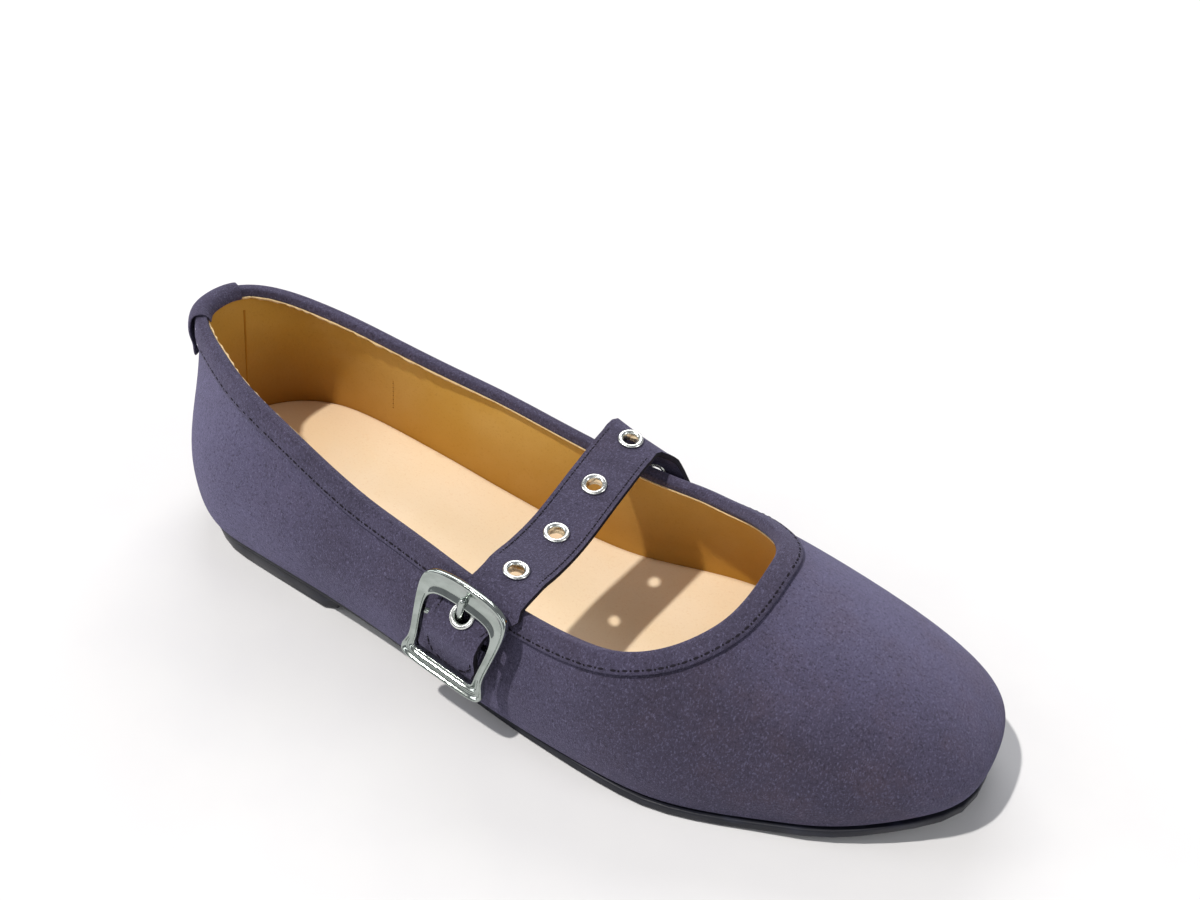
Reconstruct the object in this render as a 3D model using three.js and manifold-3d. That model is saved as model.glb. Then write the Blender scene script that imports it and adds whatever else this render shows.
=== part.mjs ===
import * as THREE from 'three';
import { mergeVertices } from 'three/addons/utils/BufferGeometryUtils.js';
import Module from 'manifold-3d';

// A right ballet flat with a buckled strap. Millimetres, +X to the toe, +Y to the medial
// side, +Z up. The floor is z = 0. Sections are worked out with x = 0 at the heel's back,
// and the finished group is shifted so that the origin is below the middle of its box.

// Last and upper
const LENGTH = 250;
const BALL_WIDTH = 90;
const HEEL_RADIUS = 31;
const TOE_RADIUS = 44;
const HEEL_POWER = 2.2;
const TOE_POWER = 2.9;
const WALL = 1.8;
const BULGE_HEIGHT = 12.5;
const FEATHER_INSET = 4;

// Topline
const COLLAR_START = 1.2;
const COLLAR_LENGTH = 182.6;
const COLLAR_WIDTH = 74;
const COLLAR_BACK_RADIUS = 52;
const COLLAR_FRONT_RADIUS = 32;
const COLLAR_BACK_POWER = 2.7;
const COLLAR_FRONT_POWER = 2.3;
const BACK_HEIGHT = 64;
const SIDE_HEIGHT = 38;
const THROAT_HEIGHT = 52.6;
const BINDING_WIDTH = 5.5;
const BINDING_THICKNESS = 0.9;
const BINDING_TURN_IN = 1.3;
const TAB_WIDTH = 16;
const TAB_LENGTH = 16;
const TAB_TURN_IN = 1.8;
const TAB_THICKNESS = 1;
const TAB_HUG = 3.2;
const TAB_CORNER = 4;

// Vamp: how the surface leaves the toe's edge and how it meets the throat
const TOE_WALL = 9.5;
const VAMP_SLOPE = 16;

// Sole, heel and insole
const SOLE_THICKNESS = 3;
const SOLE_MARGIN = 1.4;
const HEEL_LIFT = 6.4;
const TOE_SPRING = 7;
const HEEL_LENGTH = 70;
const HEEL_TAPER = 2;
const HEEL_STEP = 0.6;
const HEEL_CORNER = 2.4;
const HEEL_BREAST_SLANT = 1.5;
const INSOLE_THICKNESS = 1.8;
const INSOLE_PAD = 7.2;
const INSOLE_GAP = 0.5;
const CLEARANCE = 0.3;

// Strap and its eyelets
const STRAP_WIDTH = 17.5;
const STRAP_THICKNESS = 1.7;
const STRAP_SAG = 4;
const STRAP_LOOP = 5.4;
const STRAP_AHEAD = 8.5;
const STRAP_DROP = 26;
const STRAP_SKEW = 9;
const BUCKLE_SKEW = 1.5;
const STRAP_STAND = 2.3;
const STRAP_CORNER = 5;
const EYELET_COUNT = 6;
const EYELET_PITCH = 19.3;
const EYELET_RADIUS = 3.6;
const EYELET_BORE = 2.1;
const EYELET_BARREL = 0.35;
const EYELET_FLANGE = 0.45;
const EYELET_SIDES = 12;

// Buckle
const BUCKLE_LENGTH = 29;
const BUCKLE_WIDTH = 29;
const BUCKLE_FOOT = 27.5;
const BUCKLE_WAIST = 24.6;
const BUCKLE_TOP_BAR = 6.8;
const BUCKLE_END_BAR = 4.8;
const BUCKLE_SIDE_BAR = 3.2;
const BUCKLE_WAIST_BAR = 2.4;
const BUCKLE_THICKNESS = 2.4;
const BUCKLE_STAND = 5.7;
const BUCKLE_DEPTH = 11.4;
const BAR_RADIUS = 1;
const BAR_STAND = 3.6;
const PRONG_RADIUS = 0.8;
const PRONG_HOLE_UP = 5.2;
const CHAPE_WIDTH = 15;
const CHAPE_THICKNESS = 0.9;
const CHAPE_DROP = 16;

const LATERAL = -1;
const MEDIAL = 1;
const STRAP_AT_MEDIAL = 0.564;
const STRAP_AT_LATERAL = 0.467;
const STATIONS = 84;
const LINE_STEPS = 240;
const BULGE_SHARE = 0.2;

// Half widths of the upper's widest line, in shares of BALL_WIDTH, along LENGTH
const OUTLINE = [
  { at: 0, medial: 0.333, lateral: 0.33 },
  { at: 0.12, medial: 0.345, lateral: 0.385 },
  { at: 0.3, medial: 0.325, lateral: 0.44 },
  { at: 0.5, medial: 0.355, lateral: 0.508 },
  { at: 0.68, medial: 0.445, lateral: 0.55 },
  { at: 0.84, medial: 0.391, lateral: 0.434 },
  { at: 1, medial: 0.336, lateral: 0.306 },
];

// Half widths of the topline, in shares of COLLAR_WIDTH, along COLLAR_LENGTH
const COLLAR = [
  { at: 0, medial: 0.345, lateral: 0.235 },
  { at: 0.2, medial: 0.357, lateral: 0.35 },
  { at: 0.5, medial: 0.412, lateral: 0.447 },
  { at: 0.8, medial: 0.386, lateral: 0.56 },
  { at: 1, medial: 0.262, lateral: 0.478 },
];

// Height of the topline from the heel's centre (0) to the throat's centre (1): the drop is a
// share of BACK_HEIGHT less SIDE_HEIGHT, and the climb of THROAT_HEIGHT less SIDE_HEIGHT
const TOPLINE = [
  { at: 0, medialDrop: 0, lateralDrop: 0, medialClimb: 0, lateralClimb: 0 },
  { at: 0.2, medialDrop: 0.32, lateralDrop: 0.22, medialClimb: 0, lateralClimb: 0 },
  { at: 0.42, medialDrop: 0.69, lateralDrop: 0.81, medialClimb: 0, lateralClimb: 0 },
  { at: 0.64, medialDrop: 0.94, lateralDrop: 0.99, medialClimb: 0, lateralClimb: 0 },
  { at: 0.8, medialDrop: 1, lateralDrop: 1, medialClimb: 0.18, lateralClimb: 0.08 },
  { at: 0.9, medialDrop: 1, lateralDrop: 1, medialClimb: 0.66, lateralClimb: 0.42 },
  { at: 1, medialDrop: 1, lateralDrop: 1, medialClimb: 1, lateralClimb: 1 },
];

// The sole along LENGTH: lift is a share of HEEL_LIFT, spring of TOE_SPRING, body of
// SOLE_THICKNESS, pad of INSOLE_PAD, bulge of BULGE_HEIGHT, inset of FEATHER_INSET and
// margin of SOLE_MARGIN
const SOLE = [
  { at: 0, lift: 1, spring: 0, body: 0.8, pad: 1, bulge: 1, inset: 0.7, margin: -0.3 },
  { at: 0.12, lift: 1, spring: 0, body: 0.8, pad: 1, bulge: 1, inset: 0.75, margin: -0.3 },
  { at: 0.26, lift: 0.94, spring: 0, body: 0.8, pad: 0.75, bulge: 0.98, inset: 0.7, margin: -0.3 },
  { at: 0.35, lift: 0.72, spring: 0, body: 0.85, pad: 0.4, bulge: 0.95, inset: 0.62, margin: -0.6 },
  { at: 0.45, lift: 0.26, spring: 0, body: 0.95, pad: 0.1, bulge: 0.8, inset: 0.55, margin: -0.6 },
  { at: 0.55, lift: 0, spring: 0, body: 1, pad: 0, bulge: 0.6, inset: 0.5, margin: 0 },
  { at: 0.76, lift: 0, spring: 0, body: 1, pad: 0, bulge: 0.5, inset: 0.42, margin: 1 },
  { at: 0.88, lift: 0, spring: 0.3, body: 1, pad: 0, bulge: 0.6, inset: 0.5, margin: 1 },
  { at: 1, lift: 0, spring: 1, body: 1, pad: 0, bulge: 0.62, inset: 0.6, margin: 1 },
];

// How far each station of the upper belongs to the vamp rather than to the quarter
const VAMP = [
  { at: 0, share: 0 },
  { at: 0.45, share: 0 },
  { at: 0.62, share: 0.45 },
  { at: 0.78, share: 0.9 },
  { at: 1, share: 1 },
];

// Profile of the quarter and of the vamp from the widest line up: handles of one Bezier span
const QUARTER = { rise: 0.45, reach: 0.25, lean: 0.4 };
const VAMP_REACH = 0.42;

// The strap beside the medial wall, from its foot up: share is of STRAP_DROP, and lift goes
// from lying on the wall (0) to clearing the binding (1)
const STRAP_ON_WALL = [
  { share: 1, lift: 0.1 },
  { share: 0.78, lift: 0.25 },
  { share: 0.54, lift: 0.5 },
  { share: 0.3, lift: 0.78 },
  { share: 0.08, lift: 0.95 },
  { share: -0.1, lift: 0.9 },
];

// The strap between its crests: share is of the way across, and sag of STRAP_SAG
const STRAP_ACROSS = [
  { share: 0, sag: 0 },
  { share: 0.1, sag: -0.2 },
  { share: 0.32, sag: 0.15 },
  { share: 0.62, sag: 0.75 },
  { share: 0.8, sag: 0.5 },
  { share: 0.92, sag: 0.05 },
  { share: 1, sag: 0 },
];

// The strap's middle line beside the lateral wall, in the buckle's frame: down is measured
// from the buckle's centre along the wall, aside towards the toe, and stand from the wall
const STRAP_AT_BUCKLE = [
  { down: -12.6, aside: 5, stand: 2.3 },
  { down: -9.8, aside: 3, stand: 2.45 },
  { down: -7.6, aside: 1.5, stand: 3.15 },
  { down: -5.8, aside: 0.6, stand: 4.05 },
  { down: -3.6, aside: 0.15, stand: 5.3 },
  { down: -1.2, aside: 0, stand: 6.5 },
  { down: 1.2, aside: 0, stand: 6.9 },
  { down: 3.6, aside: 0, stand: 6 },
  { down: 6, aside: 0, stand: 4.5 },
  { down: 8.6, aside: 0, stand: 3.4 },
  { down: 12.8, aside: 0, stand: 3 },
];

// A value of a table's column, eased between its rows and never beyond them
function follow(table, column, at) {
  let row = 0;
  while (row < table.length - 2 && at > table[row + 1].at) row += 1;
  const slope = (k) => {
    if (k === 0 || k === table.length - 1) return 0;
    const before = (table[k][column] - table[k - 1][column]) / (table[k].at - table[k - 1].at);
    const after = (table[k + 1][column] - table[k][column]) / (table[k + 1].at - table[k].at);
    return before * after <= 0 ? 0 : (2 * before * after) / (before + after);
  };
  const span = table[row + 1].at - table[row].at;
  const t = THREE.MathUtils.clamp((at - table[row].at) / span, 0, 1);
  const rest = 1 - t;
  return (
    rest * rest * (1 + 2 * t) * table[row][column] +
    t * rest * rest * span * slope(row) +
    t * t * (3 - 2 * t) * table[row + 1][column] -
    t * t * rest * span * slope(row + 1)
  );
}

// How much of the width is left at a distance from a rounded end
function endRound(distance, radius, power) {
  if (distance >= radius) return 1;
  return (1 - (1 - distance / radius) ** power) ** (1 / power);
}

// Half a closed plan line, from its back centre to its front centre, with running lengths
function halfLine(side, { start, length, width, table, back, front }) {
  const column = side === LATERAL ? 'lateral' : 'medial';
  const points = [];
  const lengths = [0];
  for (let i = 0; i <= LINE_STEPS; i += 1) {
    const along = (1 - Math.cos((Math.PI * i) / LINE_STEPS)) / 2;
    const x = along * length;
    const rounding = endRound(x, ...back) * endRound(length - x, ...front);
    points.push(new THREE.Vector2(start + x, side * width * follow(table, column, along) * rounding));
    if (i > 0) lengths.push(lengths[i - 1] + points[i].distanceTo(points[i - 1]));
  }
  return { points, lengths, total: lengths[LINE_STEPS] };
}

const EDGE_PLAN = {
  start: 0,
  length: LENGTH,
  width: BALL_WIDTH,
  table: OUTLINE,
  back: [HEEL_RADIUS, HEEL_POWER],
  front: [TOE_RADIUS, TOE_POWER],
};
const COLLAR_PLAN = {
  start: COLLAR_START,
  length: COLLAR_LENGTH,
  width: COLLAR_WIDTH,
  table: COLLAR,
  back: [COLLAR_BACK_RADIUS, COLLAR_BACK_POWER],
  front: [COLLAR_FRONT_RADIUS, COLLAR_FRONT_POWER],
};
const EDGE = { [LATERAL]: halfLine(LATERAL, EDGE_PLAN), [MEDIAL]: halfLine(MEDIAL, EDGE_PLAN) };
const RIM = { [LATERAL]: halfLine(LATERAL, COLLAR_PLAN), [MEDIAL]: halfLine(MEDIAL, COLLAR_PLAN) };

const EDGE_TOTAL = EDGE[LATERAL].total + EDGE[MEDIAL].total;

// The point at a share of a half line's length
function alongLine(line, share) {
  const target = share * line.total;
  let i = 1;
  while (i < LINE_STEPS && line.lengths[i] < target) i += 1;
  const t = (target - line.lengths[i - 1]) / (line.lengths[i] - line.lengths[i - 1]);
  return line.points[i - 1].clone().lerp(line.points[i], THREE.MathUtils.clamp(t, 0, 1));
}

// Where on the rim a station ends: level with it at the heel, closing up towards the throat
function rimShare(side, share) {
  const edge = EDGE[side].total;
  const rim = RIM[side].total;
  const level = 0.35 * rim;
  const travelled = share * edge;
  if (travelled <= level) return travelled / rim;
  const t = (travelled - level) / (edge - level);
  const first = Math.min((edge - level) / (rim - level), 2.6);
  const last = 0.75;
  const eased = (first + last - 2) * t ** 3 + (3 - 2 * first - last) * t ** 2 + first * t;
  return (level + (rim - level) * eased) / rim;
}

// Underside of the sole above the floor, and the level of its top where the upper stands
function soleUnder(x) {
  const at = x / LENGTH;
  return HEEL_LIFT * follow(SOLE, 'lift', at) + TOE_SPRING * follow(SOLE, 'spring', at);
}

function soleTop(x) {
  return soleUnder(x) + SOLE_THICKNESS * follow(SOLE, 'body', x / LENGTH);
}

function sideOf(turn) {
  const part = turn - Math.floor(turn);
  return part < 0.5 ? { side: LATERAL, share: 2 * part } : { side: MEDIAL, share: 2 - 2 * part };
}

function edgePoint(turn) {
  const { side, share } = sideOf(turn);
  return alongLine(EDGE[side], share);
}

const TURN_STEP = 0.002;
const stationCache = new Map();

// One section of the upper. A turn of 0 is the heel's centre, 0.25 the lateral side and 0.5
// the toe's centre.
function station(turn) {
  const key = Math.round((turn - Math.floor(turn)) * 1e6);
  if (stationCache.has(key)) return stationCache.get(key);
  const { side, share } = sideOf(turn);
  const edge = alongLine(EDGE[side], share);
  const travel = edgePoint(turn + TURN_STEP).sub(edgePoint(turn - TURN_STEP)).normalize();
  const inward = new THREE.Vector2(-travel.y, travel.x);
  const rim = rimShare(side, share);
  const collar = alongLine(RIM[side], rim);
  const name = side === LATERAL ? 'lateral' : 'medial';
  const drop = follow(TOPLINE, `${name}Drop`, rim);
  const climb = follow(TOPLINE, `${name}Climb`, rim);
  const height =
    BACK_HEIGHT - (BACK_HEIGHT - SIDE_HEIGHT) * drop + (THROAT_HEIGHT - SIDE_HEIGHT) * climb;
  const at = edge.x / LENGTH;
  const feather = soleTop(edge.x) + CLEARANCE;
  const found = {
    edge,
    inward,
    collar,
    height,
    feather,
    inset: FEATHER_INSET * follow(SOLE, 'inset', at),
    margin: SOLE_MARGIN * follow(SOLE, 'margin', at),
    widest: feather + BULGE_HEIGHT * follow(SOLE, 'bulge', at),
    vamp: follow(VAMP, 'share', share),
  };
  stationCache.set(key, found);
  return found;
}

// The upper's outer face: level 0 is the featherline, BULGE_SHARE the widest line, 1 the rim
function outerFace(turn, level) {
  const s = station(turn);
  if (level < BULGE_SHARE) {
    const angle = (Math.PI / 2) * (level / BULGE_SHARE);
    const inset = s.inset * (1 - Math.sin(angle));
    const z = s.feather + (s.widest - s.feather) * (1 - Math.cos(angle));
    return new THREE.Vector3(s.edge.x + s.inward.x * inset, s.edge.y + s.inward.y * inset, z);
  }
  const t = (level - BULGE_SHARE) / (1 - BULGE_SHARE);
  const rise = s.height - s.widest;
  const reach = THREE.MathUtils.lerp(QUARTER.reach, VAMP_REACH, s.vamp);
  const away = s.collar.distanceTo(s.edge);
  const slope = away * VAMP_REACH * Math.tan(THREE.MathUtils.degToRad(VAMP_SLOPE));
  const first = THREE.MathUtils.lerp(QUARTER.rise * rise, TOE_WALL, s.vamp);
  const last = THREE.MathUtils.lerp(QUARTER.lean * rise, slope, s.vamp);
  const b0 = (1 - t) ** 3;
  const b1 = 3 * (1 - t) ** 2 * t;
  const b2 = 3 * (1 - t) * t * t;
  const b3 = t ** 3;
  const plan = s.edge.clone().lerp(s.collar, b2 * (1 - reach) + b3);
  const z = b0 * s.widest + b1 * (s.widest + first) + b2 * (s.height - last) + b3 * s.height;
  return new THREE.Vector3(plan.x, plan.y, z);
}

const LEVEL_STEP = 0.01;

function upLine(turn, level) {
  const high = Math.min(level + LEVEL_STEP, 1);
  const low = Math.max(level - LEVEL_STEP, BULGE_SHARE);
  return outerFace(turn, high).sub(outerFace(turn, low)).normalize();
}

// Outward direction of the face. Below the widest line it stays level, so that the wall
// keeps a flat foot.
function outward(turn, level) {
  const s = station(turn);
  if (level <= BULGE_SHARE) return new THREE.Vector3(-s.inward.x, -s.inward.y, 0);
  const round = outerFace(turn + TURN_STEP, level).sub(outerFace(turn - TURN_STEP, level));
  return upLine(turn, level).cross(round).negate().normalize();
}

function wallFace(turn, level, stand) {
  return outerFace(turn, level).addScaledVector(outward(turn, level), stand);
}

const DEPTH_STEPS = 48;

// The level that lies a depth below the rim, measured down the face
function levelAtDepth(turn, depth) {
  let passed = 0;
  let last = outerFace(turn, 1);
  for (let i = 1; i <= DEPTH_STEPS; i += 1) {
    const level = 1 - i / DEPTH_STEPS;
    const next = outerFace(turn, level);
    const step = next.distanceTo(last);
    if (passed + step >= depth) return 1 - (i - 1 + (depth - passed) / step) / DEPTH_STEPS;
    passed += step;
    last = next;
  }
  return 0;
}

// A point beside the rim: depth runs down the outside, negative above it, and stand outward
function besideRim(turn, depth, stand) {
  if (depth >= 0) return wallFace(turn, levelAtDepth(turn, depth), stand);
  return wallFace(turn, 1, stand).addScaledVector(upLine(turn, 1), -depth);
}

// A closed body from rows of points: wrapped both ways, or with its first and last row capped
function gridGeometry(rows, capped) {
  const count = rows[0].length;
  const index = [];
  const lastRow = capped ? rows.length - 1 : rows.length;
  for (let r = 0; r < lastRow; r += 1) {
    for (let c = 0; c < count; c += 1) {
      const a = r * count + c;
      const b = r * count + ((c + 1) % count);
      const d = ((r + 1) % rows.length) * count + c;
      const e = ((r + 1) % rows.length) * count + ((c + 1) % count);
      index.push(a, b, e, a, e, d);
    }
  }
  if (capped) {
    const top = (rows.length - 1) * count;
    for (let c = 1; 2 * c <= count; c += 1) {
      const near = c - 1;
      const far = (count - near) % count;
      const nextFar = count - c;
      if (near !== far) {
        index.push(near, far, nextFar);
        index.push(top + near, top + nextFar, top + far);
      }
      if (c !== nextFar) {
        index.push(near, nextFar, c);
        index.push(top + near, top + c, top + nextFar);
      }
    }
  }
  const geometry = new THREE.BufferGeometry();
  const flat = rows.flat().flatMap((p) => [p.x, p.y, p.z]);
  geometry.setAttribute('position', new THREE.Float32BufferAttribute(flat, 3));
  geometry.setIndex(index);
  return geometry;
}

function signedVolume(geometry) {
  const p = geometry.attributes.position;
  const index = geometry.index;
  const [a, b, c] = [new THREE.Vector3(), new THREE.Vector3(), new THREE.Vector3()];
  let volume = 0;
  for (let i = 0; i < index.count; i += 3) {
    a.fromBufferAttribute(p, index.getX(i));
    b.fromBufferAttribute(p, index.getX(i + 1));
    c.fromBufferAttribute(p, index.getX(i + 2));
    volume += a.dot(b.cross(c)) / 6;
  }
  return volume;
}

// Bare merged triangles: no normals, no shared corner written twice, no collapsed faces
function welded(geometry) {
  const bare = geometry.clone();
  bare.deleteAttribute('normal');
  bare.deleteAttribute('uv');
  const merged = mergeVertices(bare, 1e-3);
  const kept = [];
  for (let i = 0; i < merged.index.count; i += 3) {
    const [a, b, c] = [0, 1, 2].map((k) => merged.index.getX(i + k));
    if (a !== b && b !== c && c !== a) kept.push(a, b, c);
  }
  merged.setIndex(kept);
  return facingOut(merged);
}

// The same body with its faces pointing out
function facingOut(geometry) {
  if (signedVolume(geometry) >= 0) return geometry;
  const flipped = [];
  for (let i = 0; i < geometry.index.count; i += 3) {
    const [a, b, c] = [0, 1, 2].map((k) => geometry.index.getX(i + k));
    flipped.push(a, c, b);
  }
  geometry.setIndex(flipped);
  return geometry;
}

const wasm = await Module();
wasm.setup();

function toSolid(geometry) {
  const merged = welded(geometry);
  return new wasm.Manifold(
    new wasm.Mesh({
      numProp: 3,
      vertProperties: new Float32Array(merged.attributes.position.array),
      triVerts: new Uint32Array(merged.index.array),
    }),
  );
}

function fromSolid(solid) {
  const mesh = solid.getMesh();
  const geometry = new THREE.BufferGeometry();
  const position = new THREE.BufferAttribute(new Float32Array(mesh.vertProperties), 3);
  geometry.setAttribute('position', position);
  geometry.setIndex(new THREE.BufferAttribute(new Uint32Array(mesh.triVerts), 1));
  return geometry;
}

const shoe = new THREE.Group();

function addPiece(name, geometry, colour, roughness, metalness = 0) {
  const body = welded(geometry);
  body.computeVertexNormals();
  const material = new THREE.MeshStandardMaterial({ color: colour, roughness, metalness });
  const mesh = new THREE.Mesh(body, material);
  mesh.name = name;
  shoe.add(mesh);
  return mesh;
}

const SUEDE = '#5a5672';
const BLACK_SOLE = '#16161d';
const INSOLE_TAN = '#f0cfa0';
const SILVER = '#d9dcd8';

// Every station's turn, heel centre first
const TURNS = Array.from({ length: STATIONS }, (_, i) => i / STATIONS);

// Upper: the outer face up to the rim, then the inner face back down to the featherline
function makeUpper() {
  const outerLevels = [0, 0.04, 0.1, 0.2, 0.29, 0.38, 0.48, 0.58, 0.69, 0.8, 0.9, 1];
  const innerLevels = [1, 0.88, 0.7, 0.5, 0.33, 0.2, 0.1, 0.04, 0];
  const rows = TURNS.map((turn) => [
    ...outerLevels.map((level) => wallFace(turn, level, 0)),
    ...innerLevels.map((level) => wallFace(turn, level, -WALL)),
  ]);
  return gridGeometry(rows, false);
}

// A folded strip over the rim: its section in depth and stand, down its outside from the
// outer leg's foot and back along its inside, with the same count of points on both. Its
// inside is square at the crest, or as round as the crest's shares of the near stand say.
function foldOver({ near, thickness, outerLeg, innerLeg, halfway, crest = { rise: 1, spread: 1 } }) {
  const far = near + thickness;
  const outside = [
    { depth: outerLeg, stand: far },
    ...halfway.map((depth) => ({ depth, stand: far })),
    { depth: -0.8 * far, stand: 0.4 * far },
    { depth: -0.8 * far, stand: -WALL - 0.4 * far },
    { depth: innerLeg, stand: -WALL - far },
  ];
  const inside = [
    { depth: outerLeg, stand: near },
    ...halfway.map((depth) => ({ depth, stand: near })),
    { depth: -crest.rise * near, stand: crest.spread * near },
    { depth: -crest.rise * near, stand: -WALL - crest.spread * near },
    { depth: innerLeg, stand: -WALL - near },
  ];
  return [...outside, ...inside.reverse()];
}

function makeBinding() {
  const section = foldOver({
    near: CLEARANCE,
    thickness: BINDING_THICKNESS,
    outerLeg: BINDING_WIDTH,
    innerLeg: BINDING_TURN_IN,
    halfway: [BINDING_WIDTH / 6],
  });
  const rows = TURNS.map((turn) => section.map((p) => besideRim(turn, p.depth, p.stand)));
  return gridGeometry(rows, false);
}

// How far a rounded corner takes away from a strip's end, at a distance from its middle
function cornerCut(fromMiddle, halfWidth, radius) {
  const into = Math.abs(fromMiddle) - (halfWidth - radius);
  return into <= 0 ? 0 : radius - Math.sqrt(Math.max(radius * radius - into * into, 0));
}

// Heel tab: a folded strip over the binding at the heel's centre
function makeHeelTab() {
  const near = 2.5 * CLEARANCE + BINDING_THICKNESS;
  const hugged = BINDING_WIDTH + TAB_HUG;
  const hug = (depth) => (depth < hugged ? 0 : 1.3 * CLEARANCE + BINDING_THICKNESS);
  const perimeter = RIM[LATERAL].total + RIM[MEDIAL].total;
  const steps = 8;
  const rows = [];
  for (let i = 0; i <= steps; i += 1) {
    const across = (i / steps - 0.5) * TAB_WIDTH;
    const outerLeg = TAB_LENGTH - cornerCut(across, TAB_WIDTH / 2, TAB_CORNER);
    const section = foldOver({
      near,
      thickness: TAB_THICKNESS,
      outerLeg,
      innerLeg: TAB_TURN_IN,
      halfway: [hugged, BINDING_WIDTH + CLEARANCE, BINDING_WIDTH / 6],
      crest: { rise: 0.88, spread: 0.62 },
    });
    rows.push(section.map((p) => besideRim(across / perimeter, p.depth, p.stand - hug(p.depth))));
  }
  return gridGeometry(rows, true);
}

// A ring of the sole's outline, let in from its edge, at a height worked out from x
function soleRing(letIn, heightAt) {
  return TURNS.map((turn) => {
    const s = station(turn);
    const inset = s.inset - s.margin + letIn;
    const x = s.edge.x + s.inward.x * inset;
    return new THREE.Vector3(x, s.edge.y + s.inward.y * inset, heightAt(x));
  });
}

function makeOutsole() {
  const round = SOLE_THICKNESS / 5;
  return gridGeometry(
    [
      soleRing(round, soleUnder),
      soleRing(0, (x) => soleUnder(x) + round),
      soleRing(0, (x) => soleTop(x) - round / 2),
      soleRing(round / 2, soleTop),
    ],
    true,
  );
}

// Share of a half line where it reaches x
function shareAt(line, x) {
  const i = line.points.findIndex((p) => p.x >= x);
  const t = (x - line.points[i - 1].x) / (line.points[i].x - line.points[i - 1].x);
  return THREE.MathUtils.lerp(line.lengths[i - 1], line.lengths[i], t) / line.total;
}

// Heel: a low block below the outsole, drawn in towards the floor, with a flat breast
function makeHeel() {
  const steps = 14;
  const lateralEnd = shareAt(EDGE[LATERAL], HEEL_LENGTH) / 2;
  const medialEnd = shareAt(EDGE[MEDIAL], HEEL_LENGTH) / 2;
  const stops = [];
  for (let i = 0; i <= steps; i += 1) stops.push({ turn: (lateralEnd * i) / steps, along: i / steps });
  for (let i = steps; i >= 1; i -= 1) stops.push({ turn: 1 - (medialEnd * i) / steps, along: i / steps });
  const ring = (height, draw, letIn) =>
    stops.map(({ turn, along }) => {
      const s = station(turn);
      const corner = along === 1 ? HEEL_CORNER : 0;
      const inset = s.inset - s.margin + letIn + corner + draw * HEEL_TAPER * (1 - 0.8 * along);
      const breast = HEEL_LENGTH - draw * HEEL_BREAST_SLANT - letIn;
      const x = along === 1 ? breast : Math.min(s.edge.x + s.inward.x * inset, breast);
      const top = soleUnder(x) - CLEARANCE;
      return new THREE.Vector3(x, s.edge.y + s.inward.y * inset, top * height);
    });
  return gridGeometry(
    [ring(1, 0, HEEL_STEP), ring(0.5, 0.6, HEEL_STEP), ring(0.12, 1, HEEL_STEP), ring(0, 1, 2 * HEEL_STEP)],
    true,
  );
}

// Insole: fills the upper's foot with a padded wedge at the heel, its side following the
// inner wall
function makeInsole() {
  const round = INSOLE_THICKNESS / 4;
  const ring = (share, lower) =>
    TURNS.map((turn) => {
      const s = station(turn);
      const pad = INSOLE_PAD * follow(SOLE, 'pad', s.edge.x / LENGTH);
      const height = share * (INSOLE_THICKNESS + pad) - lower;
      const angle = Math.acos(1 - height / (s.widest - s.feather));
      const level = (BULGE_SHARE * angle) / (Math.PI / 2);
      const letIn = share === 1 && lower === 0 ? round : 0;
      return wallFace(turn, level, -WALL - INSOLE_GAP - letIn).setZ(s.feather + height);
    });
  return gridGeometry([ring(0, 0), ring(0.5, 0), ring(1, round), ring(1, 0)], true);
}

// The buckle's frame: its centre on the lateral wall, U along the shoe, UP along the strap
// and OUT away from the wall. Down and stand in the tables are measured from this centre.
const lateralTurn = STRAP_AT_LATERAL / 2;
const medialTurn = 1 - STRAP_AT_MEDIAL / 2;
const buckle = (() => {
  const centre = besideRim(lateralTurn, BUCKLE_DEPTH, 0);
  const high = besideRim(lateralTurn, BUCKLE_DEPTH - BUCKLE_LENGTH / 2.6, 0);
  const low = besideRim(lateralTurn, BUCKLE_DEPTH + BUCKLE_LENGTH / 2.6, 0);
  const level = levelAtDepth(lateralTurn, BUCKLE_DEPTH);
  const along = outerFace(lateralTurn + TURN_STEP, level).sub(outerFace(lateralTurn - TURN_STEP, level));
  const up = high.sub(low).normalize();
  const out = along.normalize().cross(up).normalize();
  up.applyAxisAngle(out, -THREE.MathUtils.degToRad(BUCKLE_SKEW));
  return { centre, up, out, along: up.clone().cross(out) };
})();

function atBuckle(across, down, stand) {
  return buckle.centre
    .clone()
    .addScaledVector(buckle.along, across)
    .addScaledVector(buckle.up, -down)
    .addScaledVector(buckle.out, stand);
}

const BUCKLE_MATRIX = new THREE.Matrix4()
  .makeBasis(buckle.along, buckle.up, buckle.out)
  .setPosition(buckle.centre);

// The wall's own stand in the buckle's frame, where it curves away from the centre
function wallStand(down) {
  return besideRim(lateralTurn, BUCKLE_DEPTH + down, 0).sub(buckle.centre).dot(buckle.out);
}

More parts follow.
